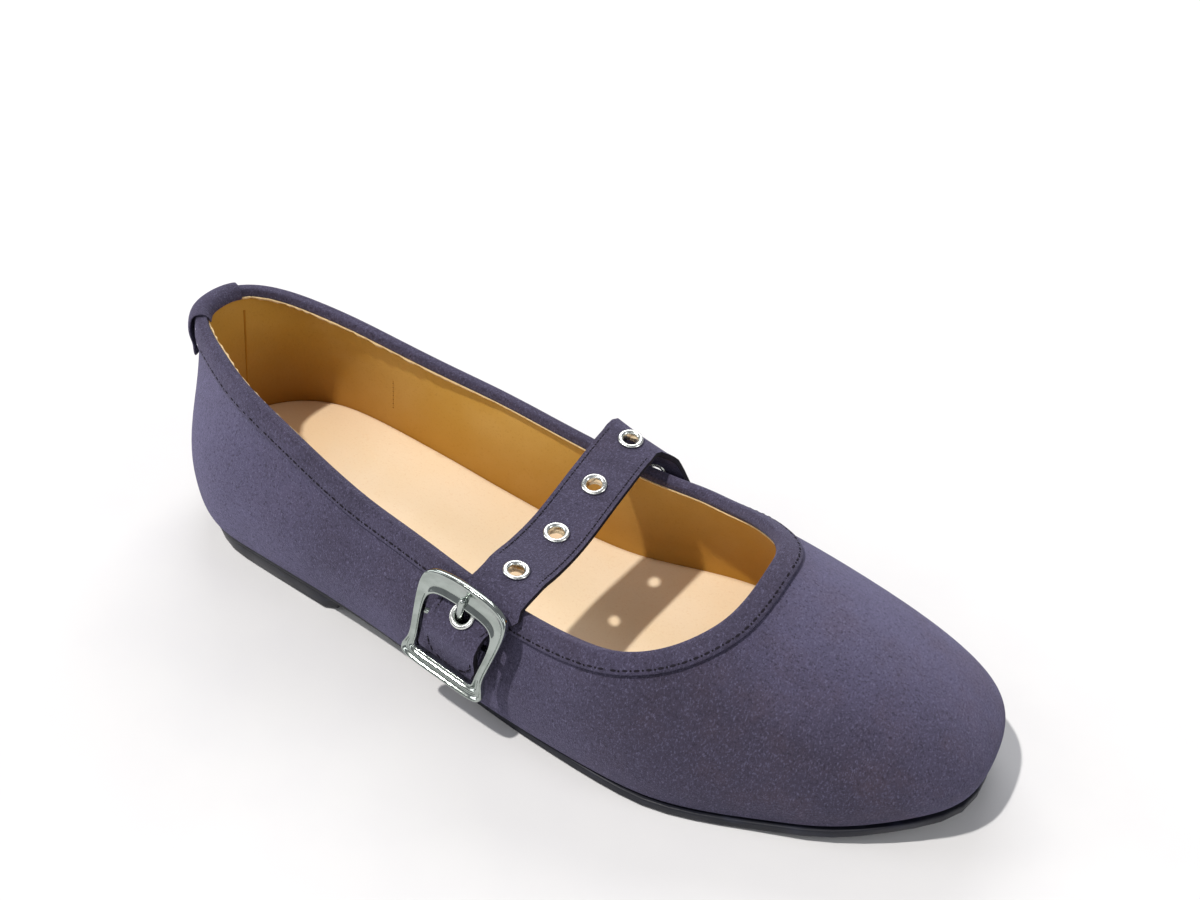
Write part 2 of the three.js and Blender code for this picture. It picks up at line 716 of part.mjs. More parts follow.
// A strip along a smooth path. Each of its stops has a point and the direction of its width,
// and its end may be rounded.
function stripAlong({ stops, steps, width, thickness, corner }) {
  const path = new THREE.CatmullRomCurve3(stops.map((stop) => stop.point), false, 'centripetal');
  const turning = new THREE.CatmullRomCurve3(stops.map((stop) => stop.across), false, 'centripetal');
  path.arcLengthDivisions = 800;
  const total = path.getLength();
  const frameAt = (share) => {
    const at = path.getUtoTmapping(share);
    const ahead = path.getTangent(at);
    const fold = turning.getPoint(at).normalize();
    const up = ahead.clone().cross(fold).normalize();
    return { point: path.getPoint(at), fold, up, across: up.clone().cross(ahead) };
  };
  const rows = [];
  for (let i = 0; i <= steps; i += 1) {
    const f = frameAt(i / steps);
    const left = Math.min((1 - i / steps) * total, corner);
    const cut = corner - Math.sqrt(corner * corner - (corner - left) ** 2);
    const half = (width / 2 - Math.min(cut, 0.8 * corner)) / f.fold.dot(f.across);
    const lip = thickness / 6;
    const outline = [
      [-half, 0],
      [-half + lip, thickness / 2],
      [half - lip, thickness / 2],
      [half, 0],
      [half - lip, -thickness / 2],
      [-half + lip, -thickness / 2],
    ];
    rows.push(outline.map(([u, n]) => f.point.clone().addScaledVector(f.fold, u).addScaledVector(f.up, n)));
  }
  return { geometry: gridGeometry(rows, true), frameAt, total, path };
}

// A stop of a strip beside the wall, its width lying level along the wall
function wallStop(turn, depth, stand) {
  const ahead = besideRim(turn + 4 * TURN_STEP, depth, stand);
  const behind = besideRim(turn - 4 * TURN_STEP, depth, stand);
  const across = ahead.sub(behind).normalize();
  if (across.x < 0) across.negate();
  return { point: besideRim(turn, depth, stand), across };
}

function buckleStop({ down, aside = 0, stand }) {
  return { point: atBuckle(aside, down, stand), across: buckle.along.clone() };
}

// The strap's stops: up the medial wall, over the binding, across the foot and down the
// lateral wall through the buckle
function strapStops() {
  const rest = CLEARANCE + STRAP_THICKNESS / 2;
  const lean = Math.tan(THREE.MathUtils.degToRad(STRAP_SKEW)) / EDGE_TOTAL;
  const crest = rest + CLEARANCE + BINDING_THICKNESS + STRAP_STAND;
  const medial = STRAP_ON_WALL.map(({ share, lift }) => {
    const depth = share * STRAP_DROP;
    return wallStop(medialTurn + depth * lean, depth, THREE.MathUtils.lerp(rest, crest, lift));
  });
  const from = wallStop(medialTurn, -crest - STRAP_LOOP, WALL);
  const to = wallStop(lateralTurn + STRAP_AHEAD / EDGE_TOTAL, -crest, -1.5 * WALL);
  const crossing = STRAP_ACROSS.map(({ share, sag }) => {
    const point = from.point.clone().lerp(to.point, share);
    point.z -= STRAP_SAG * sag;
    return { point, across: from.across.clone().lerp(to.across, share) };
  });
  return [...medial, ...crossing, ...STRAP_AT_BUCKLE.map(buckleStop)];
}

const strap = stripAlong({
  stops: strapStops(),
  steps: 54,
  width: STRAP_WIDTH,
  thickness: STRAP_THICKNESS,
  corner: STRAP_CORNER,
});

// The share of the strap's length where it passes a place in the buckle's frame
function shareBeside(down) {
  let best = 1;
  let nearest = Infinity;
  for (let i = 0; i <= 600; i += 1) {
    const share = 1 - (0.4 * i) / 600;
    const offset = strap.path.getPointAt(share).sub(buckle.centre);
    const miss = Math.abs(offset.dot(buckle.up) + down) + (offset.dot(buckle.out) < -2 ? 100 : 0);
    if (miss < nearest) [nearest, best] = [miss, share];
  }
  return best;
}

const eyeletFrames = Array.from({ length: EYELET_COUNT }, (_, i) => {
  const share = shareBeside(-PRONG_HOLE_UP) - (i * EYELET_PITCH) / strap.total;
  const f = strap.frameAt(share);
  return new THREE.Matrix4().makeBasis(f.across, f.up, f.across.clone().cross(f.up)).setPosition(f.point);
});

// A cylinder about the Y axis, placed by a frame
function drill(radius, length, frame) {
  return new THREE.CylinderGeometry(radius, radius, length, EYELET_SIDES).applyMatrix4(frame);
}

function makeStrap() {
  let solid = toSolid(strap.geometry);
  const hole = EYELET_BORE + EYELET_BARREL + CLEARANCE;
  for (const frame of eyeletFrames) solid = solid.subtract(toSolid(drill(hole, 4 * STRAP_THICKNESS, frame)));
  return fromSolid(solid);
}

// Eyelet: a rolled flange on the face, a barrel through the strap and a washer behind
function makeEyelet(frame) {
  const face = STRAP_THICKNESS / 2 + CLEARANCE;
  const back = face + CLEARANCE;
  const barrel = EYELET_BORE + EYELET_BARREL;
  const washer = barrel + EYELET_FLANGE;
  const profile = [
    [EYELET_BORE, -back - EYELET_FLANGE / 2],
    [washer, -back - EYELET_FLANGE / 2],
    [washer, -back],
    [barrel, -back],
    [barrel, face],
    [EYELET_RADIUS, face],
    [EYELET_RADIUS - 0.5, face + EYELET_FLANGE],
    [EYELET_BORE + 0.45, face + EYELET_FLANGE],
    [EYELET_BORE, face],
    [EYELET_BORE, -back - EYELET_FLANGE / 2],
  ].map(([r, y]) => new THREE.Vector2(r, y));
  return new THREE.LatheGeometry(profile, EYELET_SIDES).applyMatrix4(frame);
}

// Outline of the buckle, or of its opening, from half widths at its top and foot
function buckleOutline(shape, { top, foot, halfTop, halfWaist, halfFoot, waist, crown, corner, footCorner }) {
  const knee = waist - 0.35 * (waist - foot);
  const sideMiddle = (top + waist) / 2 - corner / 2;
  shape.moveTo(halfTop - corner, top);
  shape.quadraticCurveTo(0, top + crown, corner - halfTop, top);
  shape.quadraticCurveTo(-halfTop, top, -halfTop, top - corner);
  shape.quadraticCurveTo(0.3 - halfTop, sideMiddle, -halfWaist, waist);
  shape.lineTo(-halfFoot, knee);
  shape.lineTo(-halfFoot, foot + footCorner);
  shape.quadraticCurveTo(-halfFoot, foot, footCorner - halfFoot, foot);
  shape.lineTo(halfFoot - footCorner, foot);
  shape.quadraticCurveTo(halfFoot, foot, halfFoot, foot + footCorner);
  shape.lineTo(halfFoot, knee);
  shape.lineTo(halfWaist, waist);
  shape.quadraticCurveTo(halfTop - 0.3, sideMiddle, halfTop, top - corner);
  shape.quadraticCurveTo(halfTop, top, halfTop - corner, top);
  return shape;
}

// A round rod along points, with flat ends
function rod(points, radius, steps, sides) {
  const path = new THREE.CatmullRomCurve3(points, false, 'centripetal');
  const outline = new THREE.Shape();
  for (let i = 0; i < sides; i += 1) {
    const angle = (2 * Math.PI * i) / sides;
    const method = i === 0 ? 'moveTo' : 'lineTo';
    outline[method](radius * Math.cos(angle), radius * Math.sin(angle));
  }
  return new THREE.ExtrudeGeometry(outline, { steps, bevelEnabled: false, extrudePath: path });
}

const PRONG_PATH = [
  { down: 1.9, stand: -0.9 },
  { down: 1.2, stand: -1.75 },
  { down: 0, stand: -2.1 },
  { down: -1.3, stand: -1.75 },
  { down: -2.7, stand: -0.7 },
  { down: -4, stand: 0.5 },
  { down: -5.4, stand: 1.8 },
  { down: -7.2, stand: 2.85 },
  { down: -8.9, stand: 3.25 },
  { down: -10.4, stand: 3.2 },
];

function prongPoints() {
  return PRONG_PATH.map((p) => atBuckle(0, p.down, BAR_STAND + p.stand));
}

// Buckle frame: a bevelled ring with a bent middle bar and a seat for the prong
function makeBuckleFrame() {
  const half = BUCKLE_LENGTH / 2;
  const bevel = BUCKLE_THICKNESS / 3;
  const outline = buckleOutline(new THREE.Shape(), {
    top: half - 0.6,
    foot: -half,
    halfTop: BUCKLE_WIDTH / 2,
    halfWaist: BUCKLE_WAIST / 2,
    halfFoot: BUCKLE_FOOT / 2,
    waist: -half + BUCKLE_END_BAR + 1.6,
    crown: 1.2,
    corner: 4,
    footCorner: 1.6,
  });
  const opening = buckleOutline(new THREE.Path(), {
    top: half - BUCKLE_TOP_BAR - 0.4,
    foot: -half + BUCKLE_END_BAR,
    halfTop: BUCKLE_WIDTH / 2 - BUCKLE_SIDE_BAR,
    halfWaist: BUCKLE_WAIST / 2 - BUCKLE_WAIST_BAR,
    halfFoot: BUCKLE_WAIST / 2 - BUCKLE_WAIST_BAR,
    waist: -half + BUCKLE_END_BAR + 2.4,
    crown: 0.8,
    corner: 3.4,
    footCorner: 0.8,
  });
  outline.holes.push(opening);
  const ring = new THREE.ExtrudeGeometry(outline, {
    depth: BUCKLE_THICKNESS - 2 * bevel,
    bevelEnabled: true,
    bevelThickness: bevel,
    bevelSize: bevel,
    bevelOffset: -bevel,
    bevelSegments: 1,
    curveSegments: 4,
  });
  ring.translate(0, 0, BUCKLE_STAND - BUCKLE_THICKNESS / 2 + bevel);
  const reach = BUCKLE_WIDTH / 2 - BUCKLE_SIDE_BAR / 2;
  const barPoints = [-1, -0.86, -0.7, 0, 0.7, 0.86, 1].map((share) => {
    const bent = Math.abs(share) === 1 ? 1 : Math.abs(share) > 0.8 ? 0.35 : 0;
    const stand = THREE.MathUtils.lerp(BAR_STAND, BUCKLE_STAND - 0.2, bent);
    return new THREE.Vector3(share * reach, 0, stand);
  });
  const seat = rod(prongPoints().slice(-4), PRONG_RADIUS + CLEARANCE, 8, 10);
  const end = prongPoints().at(-1);
  const cap = new THREE.SphereGeometry(PRONG_RADIUS + CLEARANCE, 10, 8).translate(end.x, end.y, end.z);
  const placed = toSolid(ring.applyMatrix4(BUCKLE_MATRIX))
    .add(toSolid(rod(barPoints, BAR_RADIUS, 16, 8).applyMatrix4(BUCKLE_MATRIX)))
    .subtract(toSolid(seat))
    .subtract(toSolid(cap));
  return fromSolid(placed);
}

function makeProng() {
  const points = prongPoints();
  const end = points.at(-1);
  const tip = new THREE.SphereGeometry(PRONG_RADIUS, 8, 6).translate(end.x, end.y, end.z);
  return fromSolid(toSolid(rod(points, PRONG_RADIUS, 16, 8)).add(toSolid(tip)));
}

// Chape: the short strip that holds the buckle, doubled round its bar and slotted for the prong
function makeChape() {
  const lap = CHAPE_THICKNESS / 2;
  const wrap = BAR_RADIUS + CLEARANCE + lap;
  const lower = [1, 0.75, 0.5, 0.3].map((share) => {
    const down = share * CHAPE_DROP;
    return { down, stand: wallStand(down) + 4 * CLEARANCE + lap };
  });
  const turned = [270, 225, 180, 135, 90].map((degrees) => {
    const angle = THREE.MathUtils.degToRad(degrees);
    return { down: wrap * Math.cos(angle), stand: BAR_STAND + wrap * Math.sin(angle) };
  });
  const overLower = (down) => wallStand(down) + 5 * CLEARANCE + 3 * lap;
  const upper = [
    { down: 2.4, stand: Math.max(BAR_STAND + 0.6, overLower(2.4)) },
    { down: 4, stand: overLower(4) + CLEARANCE },
    { down: 5.4, stand: overLower(5.4) },
  ];
  const strip = stripAlong({
    stops: [...lower, ...turned, ...upper].map(buckleStop),
    steps: 26,
    width: CHAPE_WIDTH,
    thickness: CHAPE_THICKNESS,
    corner: CLEARANCE,
  });
  const slotWidth = 2 * (PRONG_RADIUS + CLEARANCE);
  const slot = new THREE.BoxGeometry(slotWidth, 8, 12).translate(0, 0.6, BAR_STAND);
  return fromSolid(toSolid(strip.geometry).subtract(toSolid(slot.applyMatrix4(BUCKLE_MATRIX))));
}

addPiece('outsole', makeOutsole(), BLACK_SOLE, 0.55);
addPiece('heel', makeHeel(), BLACK_SOLE, 0.5);
addPiece('insole', makeInsole(), INSOLE_TAN, 0.45);
addPiece('upper', makeUpper(), SUEDE, 0.92);
addPiece('topline_binding', makeBinding(), SUEDE, 0.9);
addPiece('heel_tab', makeHeelTab(), SUEDE, 0.9);
addPiece('strap', makeStrap(), SUEDE, 0.9);
addPiece('buckle_strap', makeChape(), SUEDE, 0.9);
addPiece('buckle_frame', makeBuckleFrame(), SILVER, 0.15, 1);
addPiece('buckle_prong', makeProng(), SILVER, 0.15, 1);
eyeletFrames.forEach((frame, i) => addPiece(`eyelet_${i + 1}`, makeEyelet(frame), SILVER, 0.15, 1));

// Origin below the middle of the whole shoe
const bounds = new THREE.Box3().setFromObject(shoe);
const middle = bounds.getCenter(new THREE.Vector3());
shoe.position.set(-middle.x, -middle.y, 0);
shoe.updateMatrixWorld(true);

export default shoe;
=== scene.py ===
"""Looks of a suede flat shoe with a buckled strap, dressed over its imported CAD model."""

import logging
import math
from dataclasses import dataclass
from enum import Enum
from typing import Iterable, Sequence

import bmesh
import bpy
import numpy as np
from bmesh.types import BMEdge, BMesh, BMFace, BMVert
from bpy.types import Light, Material, Mesh, Node, NodeSocket, Object
from mathutils import Matrix, Vector
from mathutils.bvhtree import BVHTree
from mathutils.kdtree import KDTree


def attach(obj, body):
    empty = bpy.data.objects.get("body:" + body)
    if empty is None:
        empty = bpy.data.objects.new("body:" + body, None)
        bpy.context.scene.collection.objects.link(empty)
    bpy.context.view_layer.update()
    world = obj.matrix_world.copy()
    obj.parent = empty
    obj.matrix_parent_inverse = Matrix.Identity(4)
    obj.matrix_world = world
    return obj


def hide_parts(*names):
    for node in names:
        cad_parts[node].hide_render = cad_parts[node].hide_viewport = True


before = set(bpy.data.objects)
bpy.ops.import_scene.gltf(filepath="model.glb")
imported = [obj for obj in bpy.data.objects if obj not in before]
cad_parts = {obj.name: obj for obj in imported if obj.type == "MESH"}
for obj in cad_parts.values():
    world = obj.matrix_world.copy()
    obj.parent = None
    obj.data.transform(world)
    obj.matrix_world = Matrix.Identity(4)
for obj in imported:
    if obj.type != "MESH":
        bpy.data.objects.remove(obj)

log = logging.getLogger("flat_shoe")

MM = 0.001
Triple = tuple[float, float, float]
Rows = Sequence[Sequence[float]]


class Slot(Enum):
    """Material slot names of the record; the pieces here take their finish from the wardrobe."""

    SUEDE = "suede"
    SOLE = "sole"
    INSOLE = "insole"
    SILVER = "silver"


def linear(code: str) -> tuple[float, float, float, float]:
    """Turn a colour written as on a swatch card into the linear values of a shader.

    Args:
        code: Six hexadecimal digits.

    Returns:
        Linear red, green, blue and an alpha of one.
    """
    parts = [int(code[i : i + 2], 16) / 255 for i in (0, 2, 4)]
    red, green, blue = (c / 12.92 if c <= 0.04045 else ((c + 0.055) / 1.055) ** 2.4 for c in parts)
    return red, green, blue, 1.0


def ease(low: float, high: float, value: float) -> float:
    """Rise smoothly from zero at `low` to one at `high`.

    Returns:
        The eased share.
    """
    share = min(max((value - low) / (high - low), 0.0), 1.0)
    return share * share * (3 - 2 * share)


class Finish:
    """A node material under construction, with short calls for the nodes that finishes share."""

    def __init__(self, name: str) -> None:
        """Start an empty material with one Principled shader."""
        self.material: Material = bpy.data.materials.new(name)
        self.material.use_nodes = True
        self.nodes = self.material.node_tree.nodes
        self.links = self.material.node_tree.links
        self.shader: Node = self.nodes["Principled BSDF"]
        self.place: Node = self.nodes.new("ShaderNodeTexCoord")

    def set(self, **values: object) -> None:
        """Set the shader's own sockets, written with underscores for spaces."""
        for name, value in values.items():
            self.shader.inputs[name.replace("_", " ")].default_value = value

    def feed(self, socket: NodeSocket, value: object) -> None:
        """Link a signal to a socket, or set the socket to a value."""
        if isinstance(value, NodeSocket):
            self.links.new(value, socket)
        else:
            socket.default_value = value

    def noise(
        self, scale: float, detail: float = 4.0, stretch: Triple = (1, 1, 1), rough: float = 0.5
    ) -> NodeSocket:
        """Add a noise in metres on the piece's own coordinates.

        Args:
            scale: Features per metre.
            detail: Octaves.
            stretch: How much each axis is packed.
            rough: Roughness of the octaves.

        Returns:
            The noise.
        """
        turn = self.nodes.new("ShaderNodeMapping")
        self.feed(turn.inputs["Vector"], self.place.outputs["Object"])
        self.feed(turn.inputs["Scale"], stretch)
        node = self.nodes.new("ShaderNodeTexNoise")
        self.feed(node.inputs["Vector"], turn.outputs["Vector"])
        self.feed(node.inputs["Scale"], scale)
        self.feed(node.inputs["Detail"], detail)
        self.feed(node.inputs["Roughness"], rough)
        return node.outputs[0]

    def ramp(
        self, source: NodeSocket, low: float, high: float, to: tuple[float, float] = (0.0, 1.0)
    ) -> NodeSocket:
        """Spread the part of a signal between two levels smoothly over a range.

        Returns:
            The spread signal.
        """
        node = self.nodes.new("ShaderNodeMapRange")
        node.interpolation_type = "SMOOTHSTEP"
        names = ("Value", "From Min", "From Max", "To Min", "To Max")
        for name, value in zip(names, (source, low, high, *to)):
            self.feed(node.inputs[name], value)
        return node.outputs[0]

    def attribute(self, name: str) -> NodeSocket:
        """Read one of the piece's own attributes.

        Returns:
            The attribute as a signal.
        """
        node = self.nodes.new("ShaderNodeAttribute")
        node.attribute_name = name
        return node.outputs["Fac"]

    def math(self, operation: str, *values: NodeSocket | float) -> NodeSocket:
        """Work out one signal from others and from numbers.

        Returns:
            The result.
        """
        node = self.nodes.new("ShaderNodeMath")
        node.operation = operation
        for socket, value in zip(node.inputs, values):
            self.feed(socket, value)
        return node.outputs[0]

    def blend(self, share: NodeSocket, under: object, over: object, strength: float = 1.0) -> NodeSocket:
        """Lay one colour over another by a share.

        Args:
            share: Signal that says how much of `over` shows.
            under: Triple or signal below.
            over: Triple or signal on top.
            strength: Most that `over` may show.

        Returns:
            The mixed colour.
        """
        node = self.nodes.new("ShaderNodeMix")
        node.data_type = "RGBA"
        factor, first, second = (node.inputs[i] for i in (0, 6, 7))
        self.feed(factor, self.math("MULTIPLY", share, strength))
        self.feed(first, under)
        self.feed(second, over)
        return node.outputs[2]

    def emboss(self, height: NodeSocket, depth_mm: float) -> None:
        """Raise the surface by a height signal, in millimetres at a signal of one."""
        node = self.nodes.new("ShaderNodeBump")
        self.feed(node.inputs["Distance"], depth_mm * MM)
        self.feed(node.inputs["Height"], height)
        self.feed(self.shader.inputs["Normal"], node.outputs["Normal"])

    def paint(self, colour: NodeSocket, roughness: NodeSocket | float) -> None:
        """Send a mixed colour and a roughness to the shader."""
        self.feed(self.shader.inputs["Base Color"], colour)
        self.feed(self.shader.inputs["Roughness"], roughness)


@dataclass(frozen=True)
class Recipe:
    """A named material that knows how to mix its own nodes."""

    name: str

    def make(self) -> Material:
        """Mix the recipe into a fresh material.

        Returns:
            The material.
        """
        finish = Finish(self.name)
        self.mix(finish)
        return finish.material

    def mix(self, f: Finish) -> None:
        """Add the recipe's nodes to a finish."""
        raise NotImplementedError


@dataclass(frozen=True)
class Suede(Recipe):
    """Short-napped suede: a brushed ground with blotches, dark specks and a pale bloom, under painted light
    and painted shade from the piece's attributes.
    """

    name: str = "suede"
    ground: str = "4d4960"
    brushed_tone_and_painted_light: str = "595570"
    shaded: str = "3e3a4c"
    warm: str = "54444a"
    warmth: float = 0.3
    # lit and flat are the colours of the painted light and the painted shade.
    lit: str = "66637f"
    flat: str = "35303d"
    dark: str = "26222c"
    pale: str = "817e9e"
    speck: float = 0.7
    nap_mm: float = 0.38

    def mix(self, f: Finish) -> None:
        """Add the nodes of the nap, and lay in the painted light and painted shade."""
        sheen = linear("a6a4c8")
        f.set(Sheen_Weight=0.34, Sheen_Roughness=0.5, Sheen_Tint=sheen, Specular_IOR_Level=0.16)
        wide = f.ramp(f.noise(22, 3, (1, 1.3, 1)), 0.3, 0.72)
        close = f.ramp(f.noise(85, 6, (1, 1.6, 1), 0.62), 0.34, 0.72)
        patch = f.ramp(f.noise(60, 8, rough=0.72), 0.42, 0.66)
        specks = f.ramp(f.noise(1150, 4, (1, 1.7, 1), 0.75), 0.5, 0.66)
        lights = f.ramp(f.noise(1350, 4, (1.7, 1, 1), 0.75), 0.5, 0.68)
        colour = linear(self.ground)
        for share, over, strength in (
            (wide, self.brushed_tone_and_painted_light, 0.75),
            (close, self.shaded, 0.5),
            # The next two rows are painted light and painted shade.
            (f.attribute("brushed_tone_and_painted_light"), self.lit, 0.75),
            (f.attribute("painted_shade"), self.flat, 0.8),
            (f.math("MULTIPLY", f.attribute("toe"), patch), self.warm, self.warmth),
            (specks, self.dark, self.speck),
            (lights, self.pale, 0.4),
        ):
            colour = f.blend(share, colour, linear(over), strength)
        f.paint(colour, 0.95)
        nap = f.noise(2100, 3, (1, 1.5, 1), 0.75)
        f.emboss(f.math("MULTIPLY_ADD", f.noise(420, 3), 0.8, nap), self.nap_mm)


@dataclass(frozen=True)
class Leather(Recipe):
    """Smooth leather, paler where it is worn, and darkened by a painted shade that the piece's attribute
    sets.
    """

    ground: str
    pale: str
    # deep is the colour of the painted shade, and of the leather's fine dark grain.
    deep: str
    painted_inner_shade: float
    roughness: float
    shine: float = 0.25
    grain_mm: float = 0.05

    def mix(self, f: Finish) -> None:
        """Add the nodes of the leather."""
        f.set(Specular_IOR_Level=self.shine)
        deep = linear(self.deep)
        cloud = f.ramp(f.noise(34, 4), 0.35, 0.7)
        colour = f.blend(cloud, linear(self.ground), linear(self.pale), 0.5)
        # Painted shade, darker where the piece's attribute grows.
        colour = f.blend(f.attribute("painted_inner_shade"), colour, deep, self.painted_inner_shade)
        colour = f.blend(f.ramp(f.noise(1500, 2), 0.56, 0.7), colour, deep, 0.14)
        f.paint(colour, f.ramp(f.noise(60, 3), 0.2, 0.8, (self.roughness - 0.08, self.roughness + 0.1)))
        f.emboss(f.math("MULTIPLY_ADD", f.noise(160, 2), 1.5, f.noise(900, 4)), self.grain_mm)


@dataclass(frozen=True)
class SoleRubber(Recipe):
    """Near-black rubber with a navy cast, scuffed a little along its foot."""

    name: str = "black_sole"
    ground: str = "12141f"
    dusty: str = "262a3c"

    def mix(self, f: Finish) -> None:
        """Add the nodes of the rubber."""
        f.set(Specular_IOR_Level=0.4)
        dust = f.ramp(f.noise(120, 5, (1, 1, 3)), 0.5, 0.75)
        gloss = f.ramp(f.noise(70, 4), 0.3, 0.7, (0.42, 0.62))
        f.paint(f.blend(dust, linear(self.ground), linear(self.dusty), 0.55), gloss)
        f.emboss(f.noise(1400, 3), 0.06)


@dataclass(frozen=True)
class Silver(Recipe):
    """Polished plated metal with faint hand marks."""

    name: str = "polished_silver"
    ground: str = "aab2ad"
    cast: str = "8f9892"
    roughness: float = 0.07

    def mix(self, f: Finish) -> None:
        """Add the nodes of the plating."""
        f.set(Metallic=1.0, Coat_Weight=0.6, Coat_Roughness=0.04)
        smear = f.ramp(f.noise(190, 4, (1, 1, 2)), 0.4, 0.7)
        marks = f.ramp(f.noise(520, 3, (1, 4, 1)), 0.35, 0.75, (self.roughness, self.roughness + 0.12))
        f.paint(f.blend(smear, linear(self.ground), linear(self.cast), 0.6), marks)
        f.emboss(f.noise(260, 3), 0.012)


@dataclass(frozen=True)
class Plain(Recipe):
    """A small part's finish: one colour broken up by a fine grain."""

    ground: str
    dark: str
    roughness: float = 0.85
    grain: float = 2600.0

    def mix(self, f: Finish) -> None:
        """Add the nodes of the grain."""
        f.set(Specular_IOR_Level=0.2)
        grain = f.ramp(f.noise(self.grain, 3), 0.35, 0.7)
        f.paint(f.blend(grain, linear(self.ground), linear(self.dark), 0.55), self.roughness)
        f.emboss(grain, 0.05)


class Wardrobe:
    """Every material of the scene, made once."""

    def __init__(self) -> None:
        """Make each finish."""
        self.suede = Suede().make()
        self.binding = Suede("suede_band", "423e50", "4e4960", "332f3e", warmth=0.2).make()
        self.lining = Leather("ochre_lining", "d2a548", "e6bf72", "8c5404", 0.9, 0.6).make()
        self.lining_heel = Leather("heel_lining", "c69228", "dcae52", "8c5206", 0.6, 0.6).make()
        self.insole = Leather("tan_insole", "f0dab8", "f4e2c8", "d2a468", 0.5, 0.38).make()
        self.raw_edge = Plain("raw_lining_edge", "ecd3a4", "cfa869").make()
        self.thread = Plain("thread", "1f1b26", "131018").make()
        # Dark dots that paint the shade inside the stitches' needle holes.
        self.painted_hole_shade = Plain("painted_hole_shade", "17141b", "0d0b10").make()
        self.painted_tan_hole_shade = Plain("painted_tan_hole_shade", "6b4312", "4d2f0b").make()
        # Pale scuffs, and painted highlights on the topline's thread.
        self.scuff_and_highlight = Plain("pale_scuff_and_highlight", "d9d7e2", "bcb9cc").make()
        self.rubber = SoleRubber().make()
        self.silver = Silver().make()
        self.rim = Silver("bright_rim", "eceee9", "cdd2cd", 0.2).make()
        self.floor = Plain("pale_floor", "d9d9da", "d6d6d8", 0.9, 40.0).make()


def node_copy(name: str) -> BMesh:
    """Copy a CAD node's mesh, with its loose triangles merged into one skin.

    Args:
        name: The node's name.

    Returns:
        The copy, in metres.
    """
    bm = bmesh.new()
    bm.from_mesh(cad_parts[name].data)
    bmesh.ops.remove_doubles(bm, verts=bm.verts, dist=0.004 * MM)
    bmesh.ops.dissolve_degenerate(bm, dist=0.002 * MM, edges=bm.edges)
    bm.normal_update()
    return bm


def quads(bm: BMesh, flatness: float = 38.0, skew: float = 70.0) -> None:
    """Join pairs of triangles that belong to one quad, with both limits in degrees."""
    bmesh.ops.join_triangles(
        bm,
        faces=bm.faces,
        angle_face_threshold=math.radians(flatness),
        angle_shape_threshold=math.radians(skew),
        cmp_sharp=False,
    )


def sharp_edges(bm: BMesh, degrees: float) -> list[BMEdge]:
    """List the edges that fold by more than an angle.

    Returns:
        The folded edges.
    """
    limit = math.radians(degrees)
    return [e for e in bm.edges if len(e.link_faces) == 2 and e.calc_face_angle(0.0) > limit]


def patches(bm: BMesh, degrees: float) -> list[list[BMFace]]:
    """Split a skin into patches along its folds, the largest first.

    Returns:
        Faces of each patch.
    """
    folds = set(sharp_edges(bm, degrees))
    seen: set[BMFace] = set()
    found = []
    for start in bm.faces:
        if start in seen:
            continue
        seen.add(start)
        queue, patch = [start], []
        while queue:
            face = queue.pop()
            patch.append(face)
            for edge in face.edges:
                if edge in folds:
                    continue
                for other in edge.link_faces:
                    if other not in seen:
                        seen.add(other)
                        queue.append(other)
        found.append(patch)
    return sorted(found, key=lambda p: -sum(f.calc_area() for f in p))


def crease(bm: BMesh, degrees: float, amount: float = 0.85) -> None:
    """Hold the folds of a skin when it is subdivided."""
    layer = bm.edges.layers.float.get("crease_edge") or bm.edges.layers.float.new("crease_edge")
    for edge in sharp_edges(bm, degrees):
        edge[layer] = amount


def linked(name: str, bm: BMesh, materials: Iterable[Material]) -> Object:
    """Make an object of a finished bmesh, which is freed here, and link it to the scene.

    Returns:
        The object.
    """
    mesh = bpy.data.meshes.new(name)
    bm.to_mesh(mesh)
    bm.free()
    for material in materials:
        mesh.materials.append(material)
    obj = bpy.data.objects.new(name, mesh)
    bpy.context.scene.collection.objects.link(obj)
    return obj


def piece(name: str, bm: BMesh, materials: Iterable[Material]) -> Object:
    """Make a smooth object of a finished bmesh and let it ride on the shoe.

    Args:
        name: The piece's name.
        bm: The mesh, freed here.
        materials: Materials by face index.

    Returns:
        The object.
    """
    obj = linked(name, bm, materials)
    for polygon in obj.data.polygons:
        polygon.use_smooth = True
    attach(obj, "root")
    return obj


def smooth_by_angle(mesh: Mesh, degrees: float) -> None:
    """Shade a mesh smooth except across its folds."""
    bm = bmesh.new()
    bm.from_mesh(mesh)
    limit = math.radians(degrees)
    for edge in bm.edges:
        edge.smooth = len(edge.link_faces) != 2 or edge.calc_face_angle(0.0) < limit
    bm.to_mesh(mesh)
    bm.free()


def subdivided(obj: Object, levels: int) -> Object:
    """Subdivide a piece and keep the result as its mesh.

    Returns:
        The same object.
    """
    modifier = obj.modifiers.new("smooth", "SUBSURF")
    modifier.levels = modifier.render_levels = levels
    modifier.boundary_smooth = "PRESERVE_CORNERS"
    graph = bpy.context.evaluated_depsgraph_get()
    finished = bpy.data.meshes.new_from_object(obj.evaluated_get(graph))
    obj.modifiers.clear()
    old, obj.data = obj.data, finished
    bpy.data.meshes.remove(old)
    finished.name = obj.name
    return obj


def vectors(items: Sequence, key: str = "co") -> np.ndarray:
    """Read one vector from each of a mesh's vertices or normals.

    Returns:
        One row an item, in metres for places.
    """
    flat = np.empty(len(items) * 3)
    items.foreach_get(key, flat)
    return flat.reshape(-1, 3)


def write_attribute(mesh: Mesh, name: str, values: np.ndarray | float) -> None:
    """Store one number a vertex, or one for all, for a material to read."""
    layer = mesh.attributes.new(name, "FLOAT", "POINT")
    layer.data.foreach_set("value", np.broadcast_to(values, len(mesh.vertices)).astype(np.float32))


def move(mesh: Mesh, where: np.ndarray) -> None:
    """Put a mesh's vertices at new places."""
    mesh.vertices.foreach_set("co", where.astype(np.float32).ravel())
    mesh.update()


